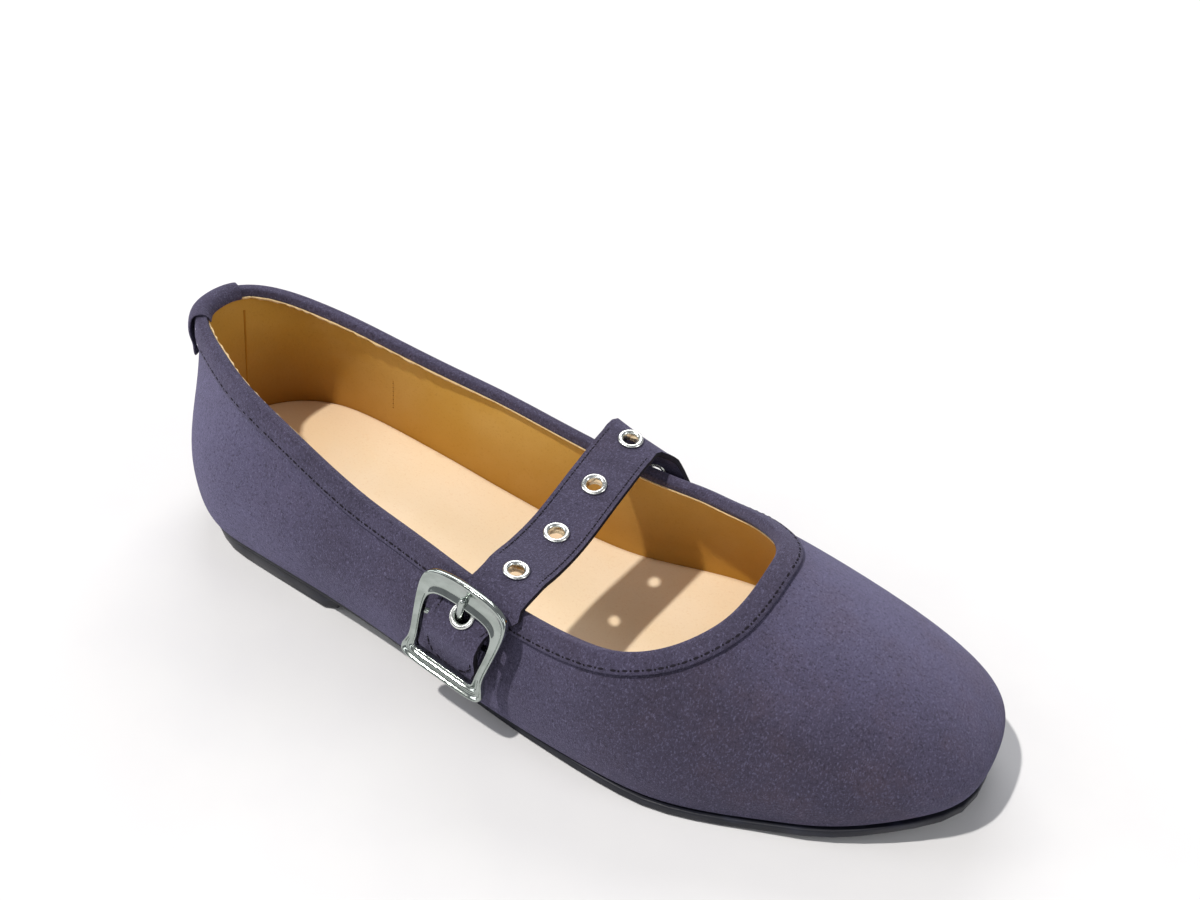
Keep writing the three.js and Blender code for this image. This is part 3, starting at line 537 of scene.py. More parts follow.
@dataclass
class Line:
    """An ordered line on a surface: its points, the surface's normal and the way it runs."""

    points: list[Vector]
    up: list[Vector]
    closed: bool

    def spaced(self, pitch: float, start: float = 0.0) -> list[tuple[Vector, Vector, Vector]]:
        """Step along the line.

        Args:
            pitch: Distance between steps, in metres.
            start: Distance to the first step.

        Returns:
            Place, direction and surface normal of each step.
        """
        ring = self.points + ([self.points[0]] if self.closed else [])
        ups = self.up + ([self.up[0]] if self.closed else [])
        lengths = [0.0]
        for a, b in zip(ring, ring[1:]):
            lengths.append(lengths[-1] + (b - a).length)
        found = []
        at, i = start, 0
        while at < lengths[-1]:
            while lengths[i + 1] < at:
                i += 1
            share = (at - lengths[i]) / max(lengths[i + 1] - lengths[i], 1e-9)
            along = (ring[i + 1] - ring[i]).normalized()
            up = ups[i].lerp(ups[i + 1], share)
            up = (up - along * up.dot(along)).normalized()
            found.append((ring[i].lerp(ring[i + 1], share), along, up))
            at += pitch
        return found

    def inset(self, distance: float) -> "Line":
        """Move the line sideways on its surface, to the left of the way it runs.

        Returns:
            The moved line.
        """
        count = len(self.points)
        moved = []
        for i, (point, up) in enumerate(zip(self.points, self.up)):
            before = self.points[(i - 1) % count] if self.closed or i else point
            after = self.points[(i + 1) % count] if self.closed or i + 1 < count else point
            moved.append(point + up.cross(after - before).normalized() * distance)
        return Line(moved, list(self.up), self.closed)

    def smoothed(self, rounds: int) -> "Line":
        """Even out the line's points.

        Returns:
            The smoother line.
        """
        points, ups = list(self.points), list(self.up)
        count = len(points)
        for _ in range(rounds):
            ends = range(count) if self.closed else range(1, count - 1)
            fresh, fresh_up = list(points), list(ups)
            for i in ends:
                a, b = (i - 1) % count, (i + 1) % count
                fresh[i] = points[i] * 0.5 + (points[a] + points[b]) * 0.25
                fresh_up[i] = (ups[i] * 0.5 + (ups[a] + ups[b]) * 0.25).normalized()
            points, ups = fresh, fresh_up
        return Line(points, ups, self.closed)


def outline_of(patch: Sequence[BMFace]) -> list[Line]:
    """Trace the borders of a patch, each with the patch's normals and the patch on its left.

    Returns:
        The borders, the longest first.
    """
    faces = set(patch)
    after: dict[BMVert, BMVert] = {}
    up: dict[BMVert, Vector] = {}
    for face in patch:
        for loop in face.loops:
            others = [f for f in loop.edge.link_faces if f is not face]
            if not others or others[0] not in faces:
                after[loop.vert] = loop.link_loop_next.vert
                up[loop.vert] = up.get(loop.vert, Vector()) + face.normal
    lines = []
    while after:
        start = next(iter(after))
        ring, at = [], start
        while at in after:
            ring.append(at)
            at = after.pop(at)
        lines.append(Line([v.co.copy() for v in ring], [up[v].normalized() for v in ring], at is start))
    return sorted(lines, key=lambda line: -sum((b - a).length for a, b in zip(line.points, line.points[1:])))


def axes_at(place: Vector, x: Vector, y: Vector, z: Vector) -> Matrix:
    """Build the matrix that puts the origin at a place and turns the axes to given ones.

    Returns:
        The matrix.
    """
    return Matrix.Translation(place) @ Matrix((x, y, z)).transposed().to_4x4()


def frame_matrix(place: Vector, along: Vector, up: Vector) -> Matrix:
    """Build the matrix that takes X along a line, Z up from its surface and the origin to a place.

    Returns:
        The matrix.
    """
    side = up.cross(along).normalized()
    return axes_at(place, along, side, along.cross(side))


def surface_of(obj: Object) -> BVHTree:
    """Make a piece's surface ready to be searched.

    Returns:
        The tree of its faces.
    """
    return BVHTree.FromObject(obj, bpy.context.evaluated_depsgraph_get())


def bead(bm: BMesh, where: Matrix, length: float, width: float, rise: float) -> None:
    """Add a small ball drawn out along X and half sunk, sizes in millimetres."""
    size = Matrix.Diagonal((length / 2 * MM, width / 2 * MM, rise * MM, 1))
    bmesh.ops.create_uvsphere(bm, u_segments=8, v_segments=4, radius=1.0, matrix=where @ size)


def ring_of(bm: BMesh, places: Iterable[Sequence[float]]) -> tuple[list[BMVert], list[BMEdge]]:
    """Add a closed ring of edges through some places.

    Returns:
        Its vertices and its edges.
    """
    corners = [bm.verts.new(place) for place in places]
    return corners, [bm.edges.new(pair) for pair in zip(corners, corners[1:] + corners[:1])]


def skin_rings(bm: BMesh, rings: Iterable[Sequence[Vector]], closed: bool) -> None:
    """Bridge a row of rings, and either close it on itself or cap both its ends.

    Args:
        bm: The mesh.
        rings: Corners of each ring, in metres.
        closed: Whether the last ring joins the first.
    """
    loops = [ring_of(bm, ring)[1] for ring in rings]
    for a, b in zip(loops, loops[1:] + loops[:1] if closed else loops[1:]):
        bmesh.ops.bridge_loops(bm, edges=a + b)
    if not closed:
        bmesh.ops.contextual_create(bm, geom=loops[0])
        bmesh.ops.contextual_create(bm, geom=loops[-1])
    bmesh.ops.recalc_face_normals(bm, faces=bm.faces)


@dataclass(frozen=True)
class Seam:
    """A row of thread stitches with a dark dot of painted shade for the hole between each two, in
    millimetres.
    """

    pitch: float = 3.0
    length: float = 1.7
    width: float = 0.72
    rise: float = 0.16
    hole: float = 0.3
    hole_lift: float = 0.05

    def sew(self, bm: BMesh, line: Line) -> None:
        """Add the stitches of a line to a mesh, thread as material 0 and the painted hole shade as 1."""
        for place, along, up in line.spaced(self.pitch * MM, 0.5 * self.pitch * MM):
            bead(bm, frame_matrix(place, along, up), self.length, self.width, self.rise)
            hole = place + along * (0.5 * self.pitch * MM)
            self._painted_hole_shade(bm, frame_matrix(hole, along, up))

    def _painted_hole_shade(self, bm: BMesh, where: Matrix) -> None:
        """Add one hole's painted shade: a dark dot just proud of the surface."""
        lifted = where @ Matrix.Translation((0, 0, self.hole_lift * MM))
        made = bmesh.ops.create_circle(bm, cap_ends=True, segments=7, radius=self.hole * MM, matrix=lifted)
        for face in {f for v in made["verts"] for f in v.link_faces}:
            face.material_index = 1


@dataclass
class Upper:
    """The suede upper with its lining: a closed vamp, two quarters and the heel's counter."""

    materials: Wardrobe
    levels: int = 2
    fold: float = 52.0

    # Where the warm blotches of the toe begin and are full, in metres along the shoe.
    toe_start: float = 0.02
    toe_full: float = 0.1

    # Painted shade in the lining, darker downwards and towards the heel: places and lengths
    # in millimetres, each with the share that it adds.
    lining_floor: float = 12.0
    lining_top: float = 50.0
    lining_dark: float = 0.75
    heel_start: float = 60.0
    heel_length: float = 60.0
    heel_dark: float = 0.35

    # The strip along the borders that stays free of creases, and the low waves between
    # them, in millimetres.
    calm_border: float = 2.2
    calm_fade: float = 6.0
    wave: float = 0.08
    wave_along: float = 9.1
    wave_across: float = 7.3
    wave_shift: float = 1.3

    # Soft troughs and ridges of the outer face. x, y and z are the middle of each, all in
    # millimetres; rise is its height, length and width its reach, and turn its direction in
    # plan, in degrees from the shoe's length.
    CREASES: Rows = (
        # x, y, z, rise, length, width, turn
        (62.0, -24.0, 32.0, -0.55, 26.0, 7.0, 62.0),
        (78.0, 6.0, 34.0, 0.5, 24.0, 9.0, 80.0),
        (50.0, -36.0, 20.0, 0.45, 20.0, 6.0, 20.0),
        (70.0, 30.0, 26.0, -0.5, 20.0, 8.0, 105.0),
        (-62.0, -34.0, 26.0, -0.7, 16.0, 9.0, 60.0),
        (-40.0, -38.0, 22.0, 0.5, 14.0, 8.0, 75.0),
        (-84.0, -28.0, 30.0, 0.45, 14.0, 8.0, 70.0),
        (-30.0, 34.0, 24.0, -0.5, 14.0, 8.0, 90.0),
        (-70.0, 36.0, 26.0, 0.45, 16.0, 9.0, 95.0),
        (96.0, -14.0, 24.0, 0.5, 16.0, 12.0, 30.0),
        (20.0, -46.0, 16.0, -0.4, 16.0, 7.0, 10.0),
    )

    # Painted light, paler (above 0), and painted shade, darker (below 0), laid into the suede's
    # colour, in millimetres.
    PAINTED_LIGHT_AND_SHADE: Rows = (
        # x, y, z, shade, reach
        (62.0, 6.0, 46.0, 0.5, 26.0),
        (84.0, 18.0, 40.0, 0.6, 26.0),
        (108.0, 30.0, 24.0, 0.5, 18.0),
        (38.0, -40.0, 20.0, -0.75, 26.0),
        (64.0, -38.0, 20.0, -0.65, 26.0),
        (86.0, -32.0, 16.0, -0.8, 22.0),
        (106.0, -20.0, 16.0, -0.75, 20.0),
        (118.0, 2.0, 22.0, -0.35, 14.0),
        (56.0, -28.0, 36.0, -0.3, 18.0),
        (-52.0, -30.0, 30.0, -0.5, 20.0),
        (-30.0, -34.0, 24.0, -0.5, 18.0),
        (-8.0, -38.0, 20.0, -0.4, 18.0),
        (-106.0, -15.0, 44.0, 0.55, 20.0),
        (-118.0, -4.0, 26.0, 0.4, 22.0),
        (-84.0, -29.0, 18.0, 0.45, 18.0),
        (-40.0, -40.0, 10.0, 0.35, 16.0),
        (-60.0, 33.0, 30.0, -0.3, 24.0),
        (10.0, 38.0, 26.0, 0.3, 26.0),
    )

    def build(self) -> Object:
        """Copy the node, smooth it, lay the creases in and dress both sides.

        Returns:
            The upper.
        """
        bm = node_copy("upper")
        quads(bm)
        groups = patches(bm, self.fold)
        outer = max(groups[:3], key=lambda g: max(f.calc_center_median().x for f in g))
        for face in bm.faces:
            face.material_index = 1
        for face in outer:
            face.material_index = 0
        for group in groups[2:]:
            for face in group:
                face.material_index = 2
        crease(bm, self.fold)
        m = self.materials
        obj = subdivided(piece("upper_skin", bm, (m.suede, m.lining, m.raw_edge)), self.levels)
        self._soften(obj.data)
        self._mark(obj.data)
        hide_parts("upper")
        log.info("upper: %d faces", len(obj.data.polygons))
        return obj

    def _soften(self, mesh: Mesh) -> None:
        """Lay the troughs and ridges into the outer face, none near its borders."""
        where, way = vectors(mesh.vertices), vectors(mesh.vertex_normals, "vector")
        outer, inner = np.zeros((2, len(where)), bool)
        for polygon in mesh.polygons:
            side = outer if polygon.material_index == 0 else inner
            side[list(polygon.vertices)] = True
        free = outer & ~inner
        tree = KDTree(int(inner.sum()))
        for i, place in enumerate(where[inner]):
            tree.insert(place, i)
        tree.balance()
        reach = np.array([tree.find(p)[2] if f else 0.0 for p, f in zip(where, free)]) / MM
        calm = np.clip((reach - self.calm_border) / self.calm_fade, 0, 1)
        push = np.zeros(len(where))
        for x, y, z, rise, length, width, turn in self.CREASES:
            angle = math.radians(turn)
            offset = where / MM - (x, y, z)
            along = offset[:, 0] * math.cos(angle) + offset[:, 1] * math.sin(angle)
            across = np.sqrt(np.maximum((offset**2).sum(1) - along**2, 0))
            push += rise * np.exp(-((along / length) ** 2) - (across / width) ** 2)
        waves = np.sin(where[:, 0] / MM / self.wave_along + self.wave_shift)
        waves = waves * np.sin(where[:, 1] / MM / self.wave_across) * self.wave
        where += way * ((push + waves) * calm * MM)[:, None]
        move(mesh, where)

    def _mark(self, mesh: Mesh) -> None:
        """Write how far each point is towards the toe, the lining's painted shade deep inside the shoe, and
        the suede's painted light and painted shade.
        """
        where = vectors(mesh.vertices)
        toe = np.clip((where[:, 0] - self.toe_start) / (self.toe_full - self.toe_start), 0, 1)
        write_attribute(mesh, "toe", 0.25 + 0.75 * toe)
        # Painted shade of the lining: darker downwards and towards the heel.
        height = where[:, 2] / MM
        painted_inner_shade = 1 - np.clip((height - self.lining_floor) / (self.lining_top - self.lining_floor), 0, 1)
        heel = np.clip((-where[:, 0] / MM - self.heel_start) / self.heel_length, 0, 1)
        write_attribute(mesh, "painted_inner_shade", np.clip(self.lining_dark * painted_inner_shade + self.heel_dark * heel, 0, 1))
        # Painted light and painted shade of the suede, from the table of blobs.
        shade = np.zeros(len(where))
        for x, y, z, amount, reach in self.PAINTED_LIGHT_AND_SHADE:
            shade += amount * np.exp(-(((where / MM - (x, y, z)) / reach) ** 2).sum(1))
        write_attribute(mesh, "brushed_tone_and_painted_light", np.clip(shade, 0, 1))
        write_attribute(mesh, "painted_shade", np.clip(-shade, 0, 1))


@dataclass
class Binding:
    """The folded band along the topline, its row of stitches and the raw lining under it."""

    materials: Wardrobe
    levels: int = 2
    fold: float = 66.0
    seam: Seam = Seam()
    seam_inset: float = 1.15
    edge_rise: float = 0.5
    edge_width: float = 0.22
    edge_ragged: float = 0.6
    edge_lift: float = 1.2
    edge_sunk: float = -0.25
    edge_pitch: float = 1.3

    # Where the raw edge frays along the shoe, where it rises across it, and where the heel
    # tab hides it, by the distance from the tab's middle and along the shoe, in millimetres.
    ragged: tuple[float, float] = (30.0, 80.0)
    lifted: tuple[float, float] = (4.0, -12.0)
    tab_y: float = 7.0
    tab_reach: tuple[float, float] = (9.0, 6.0)
    tab_back: tuple[float, float] = (-100.0, -112.0)

    def build(self) -> Object:
        """Smooth the band, sew its lower edge and let the raw edge show inside.

        Returns:
            The band.
        """
        bm = node_copy("topline_binding")
        quads(bm, 50)
        borders = outline_of(patches(bm, self.fold)[0])[:2]
        lower, inner = sorted(borders, key=lambda line: sum(p.z for p in line.points) / len(line.points))
        crease(bm, self.fold, 0.5)
        m = self.materials
        band = subdivided(piece("topline_band", bm, (m.binding,)), self.levels)
        write_attribute(band.data, "toe", 0.5)
        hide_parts("topline_binding")
        thread = bmesh.new()
        line = self._settled(lower.inset(self.seam_inset * MM), band)
        self.seam.sew(thread, line)
        piece("topline_stitches", thread, (m.thread, m.painted_hole_shade))
        self._raw_edge(inner)
        return band

    def _settled(self, line: Line, carrier: Object) -> Line:
        """Drop a line onto a piece's surface.

        Returns:
            The line on the surface, with the surface's normals.
        """
        tree = surface_of(carrier)
        points, ups = [], []
        for point, up in zip(line.points, line.up):
            place, normal, _, _ = tree.find_nearest(point)
            points.append(place)
            ups.append(normal if normal.dot(up) > 0.3 else up)
        return Line(points, ups, line.closed)

    def _raw_edge(self, inside: Line) -> None:
        """Make the cream edge of the lining that shows just inside the band, slightly ragged.

        Args:
            inside: Border of the band's inner leg.
        """
        rng = np.random.default_rng(5)
        stops = inside.spaced(self.edge_pitch * MM)
        centre = sum((s[0] for s in stops), Vector()) / len(stops)
        rings = []
        for place, along, _ in stops:
            inward = Vector((centre.x - place.x, centre.y - place.y, 0))
            inward = (inward - along * inward.dot(along)).normalized()
            frayed = ease(*self.ragged, -place.x / MM)
            beside = abs(place.y / MM - self.tab_y)
            hidden = ease(*self.tab_reach, beside) * ease(*self.tab_back, place.x / MM)
            drop = self.edge_rise * (1 - 0.8 * hidden) * (0.8 + (0.4 + frayed) * rng.random())
            width = (self.edge_width + self.edge_ragged * frayed * rng.random()) * (1 - 0.7 * hidden)
            lift = self.edge_lift * ease(*self.lifted, (place.y - centre.y) / MM) * (1 - hidden)
            section = (
                (self.edge_sunk, lift - 0.1),
                (width * (0.55 + 0.3 * rng.random()), lift + 0.1 * frayed),
                (width * 0.5, -drop),
                (self.edge_sunk, -drop),
            )
            rings.append([place + inward * (i * MM) + Vector((0, 0, z * MM)) for i, z in section])
        bm = bmesh.new()
        skin_rings(bm, rings, True)
        piece("lining_raw_edge", bm, (self.materials.raw_edge,))


def cast_line(ends: Rows, carrier: Object, steps: int) -> Line:
    """Lay a straight line between two places onto the surface that looks into the shoe.

    Args:
        ends: The two ends, in millimetres.
        carrier: The piece that carries the line.
        steps: Points along the line.

    Returns:
        The line on the surface.
    """
    tree = surface_of(carrier)
    first, last = (Vector(end) * MM for end in ends)
    points, ups = [], []
    for i in range(steps + 1):
        aim = first.lerp(last, i / steps)
        way = aim - Vector((first.x * 0.8, 0.0, aim.z))
        place, normal, _, _ = tree.ray_cast(aim - way * 0.5, way.normalized())
        if place is not None:
            points.append(place)
            ups.append(normal)
    return Line(points, ups, False)


def ribbon(bm: BMesh, line: Line, width: float, rise: float) -> None:
    """Raise a low rounded ridge along a line on a surface, sizes in millimetres."""
    rings = []
    for place, along, up in line.spaced(1.0 * MM):
        side = up.cross(along).normalized() * (width / 2 * MM)
        sunk = up * 0.1 * MM
        crown = up * (rise * MM)
        rings.append(
            (place + side - sunk, place + side * 0.5 + crown, place - side * 0.5 + crown, place - side - sunk)
        )
    skin_rings(bm, rings, False)


@dataclass
class InnerSeams:
    """Seams of the lining inside the heel, and the row of stitches beside them."""

    materials: Wardrobe
    steps: int = 26
    seam: Seam = Seam(pitch=1.7, length=0.9, width=0.35, rise=0.1, hole=0.22)
    ridge_width: float = 0.9
    ridge_rise: float = 0.14

    # Ends of the lining's joins and of the bar of stitches, in millimetres.
    JOINS: Sequence[Rows] = (
        ((-118.5, 17.0, 56.0), (-119.0, 16.0, 22.0)),
        ((-114.0, -3.5, 56.0), (-116.0, -4.0, 22.0)),
    )
    COLUMN: Rows = ((-78.2, 35.0, 36.5), (-79.0, 35.6, 24.5))

    def build(self, carrier: Object) -> None:
        """Lay the joins and the stitches onto the lining.

        Args:
            carrier: The upper.
        """
        # hole is the painted shade of the stitches' needle holes.
        lining, hole = self.materials.lining_heel, self.materials.painted_tan_hole_shade
        bm = bmesh.new()
        for ends in self.JOINS:
            ribbon(bm, cast_line(ends, carrier, self.steps), self.ridge_width, self.ridge_rise)
        joins = piece("lining_joins", bm, (lining,))
        # Painted shade: the joins and the stitches are darkened like the deep lining round them.
        write_attribute(joins.data, "painted_inner_shade", 0.9)
        thread = bmesh.new()
        self.seam.sew(thread, cast_line(self.COLUMN, carrier, self.steps))
        stitches = piece("lining_stitches", thread, (lining, hole))
        # Painted shade on the stitches as well.
        write_attribute(stitches.data, "painted_inner_shade", 1.0)


@dataclass
class ScuffsAndThreadHighlights:
    """A few pale flecks near the heel: scuffs where the nap is caught, and painted highlights on the
    topline's thread.
    """

    materials: Wardrobe
    width: float = 0.28
    rise: float = 0.09

    # Place and direction of each fleck, and its length, in millimetres. The first four are
    # scuffs; the last four, along the topline's stitches, are painted highlights on the thread.
    FLECKS: Rows = (
        # x, y, z, dx, dy, dz, length
        (-118.2, -4.0, 61.6, 0.3, 0.3, -1.0, 0.7),
        (-116.3, -6.7, 58.3, 0.9, -0.3, 0.2, 1.6),
        (-106.8, -10.9, 58.0, 0.2, 0.1, -1.0, 2.2),
        (-105.6, -11.6, 55.8, 0.9, -0.2, -0.6, 1.8),
        # Painted highlights on the topline's thread:
        (-87.3, -19.6, 52.1, 0.8, -0.3, -0.5, 1.2),
        (-84.2, -20.8, 50.7, 0.8, -0.3, -0.5, 0.9),
        (-79.3, -22.2, 48.2, 0.8, -0.3, -0.5, 1.1),
        (-76.3, -22.8, 46.7, 0.8, -0.3, -0.5, 0.8),
    )

    def build(self, carrier: Object) -> None:
        """Lay each fleck onto a piece.

        Args:
            carrier: The piece that carries the flecks.
        """
        tree = surface_of(carrier)
        bm = bmesh.new()
        for x, y, z, dx, dy, dz, length in self.FLECKS:
            place, normal, _, _ = tree.find_nearest(Vector((x, y, z)) * MM)
            way = Vector((dx, dy, dz))
            along = (way - normal * way.dot(normal)).normalized()
            bead(bm, frame_matrix(place, along, normal), length, self.width, self.rise)
        piece("heel_scuffs_and_thread_highlights", bm, (self.materials.scuff_and_highlight,))


@dataclass
class HeelTab:
    """The folded suede tab over the back of the topline."""

    materials: Wardrobe
    levels: int = 2

    def build(self) -> None:
        """Smooth the tab."""
        bm = node_copy("heel_tab")
        quads(bm, 50)
        crease(bm, 100, 0.3)
        tab = subdivided(piece("heel_tab_skin", bm, (self.materials.binding,)), self.levels)
        write_attribute(tab.data, "toe", 0.4)
        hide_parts("heel_tab")


@dataclass
class Sole:
    """The outsole, the heel block and the insole."""

    materials: Wardrobe
    fold: float = 40.0

    # Painted shadow on the foot bed towards the heel: where it begins, over what length in
    # millimetres, and how dark.
    dark_from: float = 74.0
    dark_length: float = 26.0
    dark: float = 0.55

    def build(self) -> None:
        """Round the edges of each and dress them."""
        for node, name, width in (("outsole", "outsole_rubber", 0.5), ("heel", "heel_block", 0.35)):
            bm = node_copy(node)
            edges = sharp_edges(bm, self.fold)
            bmesh.ops.bevel(
                bm, geom=edges, offset=width * MM, affect="EDGES", segments=3, profile=0.5, material=-1,
                clamp_overlap=True,
            )
            obj = piece(name, bm, (self.materials.rubber,))
            smooth_by_angle(obj.data, 32)
            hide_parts(node)
        self._insole()

    def _insole(self) -> None:
        """Smooth the insole and write the painted shadow that darkens the foot bed towards the heel."""
        bm = node_copy("insole")
        quads(bm)
        crease(bm, 45, 0.8)
        obj = subdivided(piece("insole_leather", bm, (self.materials.insole,)), 2)
        where = vectors(obj.data.vertices) / MM
        # Painted shadow: the foot bed darkens towards the heel.
        heel = np.clip((-where[:, 0] - self.dark_from) / self.dark_length, 0, 1)
        write_attribute(obj.data, "painted_inner_shade", self.dark * heel)
        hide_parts("insole")


@dataclass
class Strap:
    """The suede strap over the foot and the short strip that holds the buckle."""

    materials: Wardrobe
    fold: float = 55.0
    seam: Seam = Seam(pitch=2.7, length=1.9, width=0.45)
    seam_inset: float = 1.25

    def build(self) -> None:
        """Dress the strap and the chape and sew the strap's edges."""
        bm = node_copy("strap")
        flats = patches(bm, self.fold)[:2]
        upper, under = sorted(flats, key=lambda flat: -sum(f.calc_area() * f.normal.z for f in flat))
        for face in set(bm.faces) - set(upper) - set(under):
            face.material_index = 1
        line = outline_of(upper)[0].smoothed(2).inset(self.seam_inset * MM)
        m = self.materials
        obj = piece("foot_strap", bm, (m.binding, m.thread))
        smooth_by_angle(obj.data, self.fold)
        write_attribute(obj.data, "toe", 0.5)
        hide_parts("strap")
        thread = bmesh.new()
        self.seam.sew(thread, line)
        piece("strap_stitches", thread, (m.thread, m.painted_hole_shade))
        self._chape()

    def _chape(self) -> None:
        """Dress the strip that holds the buckle."""
        obj = piece("buckle_chape", node_copy("buckle_strap"), (self.materials.binding,))
        smooth_by_angle(obj.data, self.fold)
        write_attribute(obj.data, "toe", 0.5)
        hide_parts("buckle_strap")


@dataclass
class Eyelets:
    """The strap's rolled metal eyelets, turned from one profile."""

    materials: Wardrobe
    count: int = 6
    steps: int = 32

    # Share of a node's widest reach beyond which a point belongs to its flange.
    flange: float = 0.94

    # Half section of an eyelet: how far from its axis and how far out along it, in
    # millimetres from the middle of its length.
    PROFILE: Rows = (
        # radius, out
        (2.15, -1.35),
        (2.6, -1.45),
        (2.85, -1.3),
        (2.5, -1.1),
        (2.4, 0.9),
        (3.35, 1.12),
        (3.6, 1.25),
        (3.55, 1.5),
        (3.2, 1.68),
        (2.75, 1.7),
        (2.35, 1.5),
        (2.15, 1.15),
    )

    def build(self) -> None:
        """Turn an eyelet for each node and seat it in its hole."""
        for number in range(1, self.count + 1):
            node = f"eyelet_{number}"
            bm = bmesh.new()
            ring, edges = ring_of(bm, [(r * MM, 0, z * MM) for r, z in self.PROFILE])
            bmesh.ops.spin(
                bm, geom=ring + edges, cent=(0, 0, 0), axis=(0, 0, 1), dvec=(0, 0, 0), angle=2 * math.pi,
                steps=self.steps, use_merge=True, use_duplicate=False,
            )
            bmesh.ops.remove_doubles(bm, verts=bm.verts, dist=0.001 * MM)
            bmesh.ops.recalc_face_normals(bm, faces=bm.faces)
            bmesh.ops.transform(bm, matrix=self._seat(node), verts=bm.verts)
            obj = piece(f"rolled_{node}", bm, (self.materials.rim,))
            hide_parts(node)

    def _seat(self, node: str) -> Matrix:
        """Find where a node's eyelet sits and which way its wide flange faces.

        Returns:
            The matrix that places an eyelet made about the Z axis.
        """
        where = vectors(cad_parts[node].data.vertices)
        centre = where.mean(0)
        spread = where - centre
        _, ways = np.linalg.eigh(spread.T @ spread)
        axis = ways[:, 0]
        along = spread @ axis
        reach = np.linalg.norm(spread - along[:, None] * axis, axis=1)
        if along[reach > self.flange * reach.max()].mean() < 0:
            axis = -axis
            along = -along
        middle = centre + axis * (along.max() + along.min()) / 2
        out = Vector(axis)
        side = out.orthogonal().normalized()
        return axes_at(Vector(middle), side, out.cross(side), out)


@dataclass
class Buckle:
    """The polished buckle: a dished ring with a rolled rim, its bar and its prong."""

    materials: Wardrobe
    centre: Vector = Vector((-6.865, -34.613, 27.995)) * MM
    along: Vector = Vector((0.987, -0.1382, -0.0823))
    up: Vector = Vector((0.1203, 0.2951, 0.9479))
    out: Vector = Vector((-0.1067, -0.9454, 0.3079))
    stand: float = 5.7
    levels: int = 3
    prong_swell: float = 0.28

    # Right half of the ring, from the middle of its top to the middle of its foot, in
    # millimetres from its centre.
    HALF: Rows = (
        # outer across, outer up, inner across, inner up
        (0.0, 15.1, 0.0, 8.3),
        (5.0, 14.9, 4.2, 8.15),
        (9.6, 14.2, 7.6, 7.8),
        (12.6, 13.0, 9.9, 6.7),
        (14.1, 10.6, 10.9, 4.6),
        (14.2, 6.5, 10.9, 1.6),
        (13.5, 1.0, 10.6, -2.0),
        (12.6, -4.6, 10.1, -5.4),
        (12.3, -8.0, 9.9, -7.6),
        (13.6, -10.6, 9.85, -9.1),
        (13.8, -12.6, 9.4, -9.7),
        (12.6, -14.3, 8.2, -9.75),
        (6.0, -14.5, 4.4, -9.75),
        (0.0, -14.5, 0.0, -9.75),
    )

    # Section of the ring: how far in from its outer edge to its inner one, and the height
    # over its middle plane at the head and sides and at the ridged foot, in millimetres.
    SECTION: Rows = (
        # share, height, foot height
        (0.1, -1.1, -1.1),
        (0.0, -0.7, -0.7),
        (0.0, 0.6, 0.6),
        (0.04, 1.1, 1.05),
        (0.13, 1.25, 1.2),
        (0.23, 0.95, 0.7),
        (0.33, 0.68, 0.35),
        (0.44, 0.58, 0.85),
        (0.55, 0.56, 0.8),
        (0.66, 0.6, 0.1),
        (0.76, 0.72, 0.45),
        (0.85, 1.0, 1.35),
        (0.93, 1.15, 1.4),
        (0.99, 0.9, 0.95),
        (1.0, 0.3, 0.3),
        (1.0, -0.7, -0.7),
        (0.9, -1.1, -1.1),
    )
    foot_from: float = 8.4
    foot_full: float = 10.2

    # Path of the rod that the chape loops round, in millimetres.
    BAR: Rows = (
        # across, height over the ring's middle plane
        (-11.9, -0.4),
        (-10.5, -1.6),
        (-9.4, -2.1),
        (-4.0, -2.1),
        (4.0, -2.1),
        (9.4, -2.1),
        (10.5, -1.6),
        (11.9, -0.4),
    )
    bar_radius: float = 0.95
    bar_sides: int = 8

    def build(self) -> None:
        """Make the ring with its bar, and the prong."""
        self._ring()
        self._prong()

    def _ring(self) -> None:
        """Bridge rings of the section round the opening, and add the bar behind."""
        left = [(-ox, oy, -ix, iy) for ox, oy, ix, iy in self.HALF[-2:0:-1]]
        rings = []
        for share, height, foot_height in self.SECTION:
            ring = []
            for ox, oy, ix, iy in (*self.HALF, *left):
                foot = ease(self.foot_from, self.foot_full, -oy)
                rise = height + (foot_height - height) * foot
                ring.append(Vector((ox, oy, rise)).lerp(Vector((ix, iy, rise)), share) * MM)
            rings.append(ring)
        bm = bmesh.new()
        skin_rings(bm, rings, True)
        skin_rings(bm, self._bar(), False)
        place = self.centre + self.out * self.stand * MM
        bmesh.ops.transform(bm, matrix=axes_at(place, self.along, self.up, self.out), verts=bm.verts)
        obj = subdivided(piece("buckle_ring", bm, (self.materials.silver,)), self.levels)
        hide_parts("buckle_frame")

    def _bar(self) -> list[list[Vector]]:
        """Lay out the rod behind the strap, bent up into the ring at both ends.

        Returns:
            The rod's rings of corners.
        """
        turns = [2 * math.pi * i / self.bar_sides for i in range(self.bar_sides)]
        spokes = [Vector((0, math.cos(turn), math.sin(turn))) * self.bar_radius for turn in turns]
        stops = [Vector((across, 0, height)) for across, height in self.BAR]
        return [[(stop + spoke) * MM for spoke in spokes] for stop in stops]

    def _prong(self) -> None:
        """Fill the prong out to a stout cast rod."""
        bm = node_copy("buckle_prong")
        for v in bm.verts:
            v.co += v.normal * self.prong_swell * MM
        obj = piece("prong", bm, (self.materials.silver,))
        smooth_by_angle(obj.data, 60)
        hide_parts("buckle_prong")


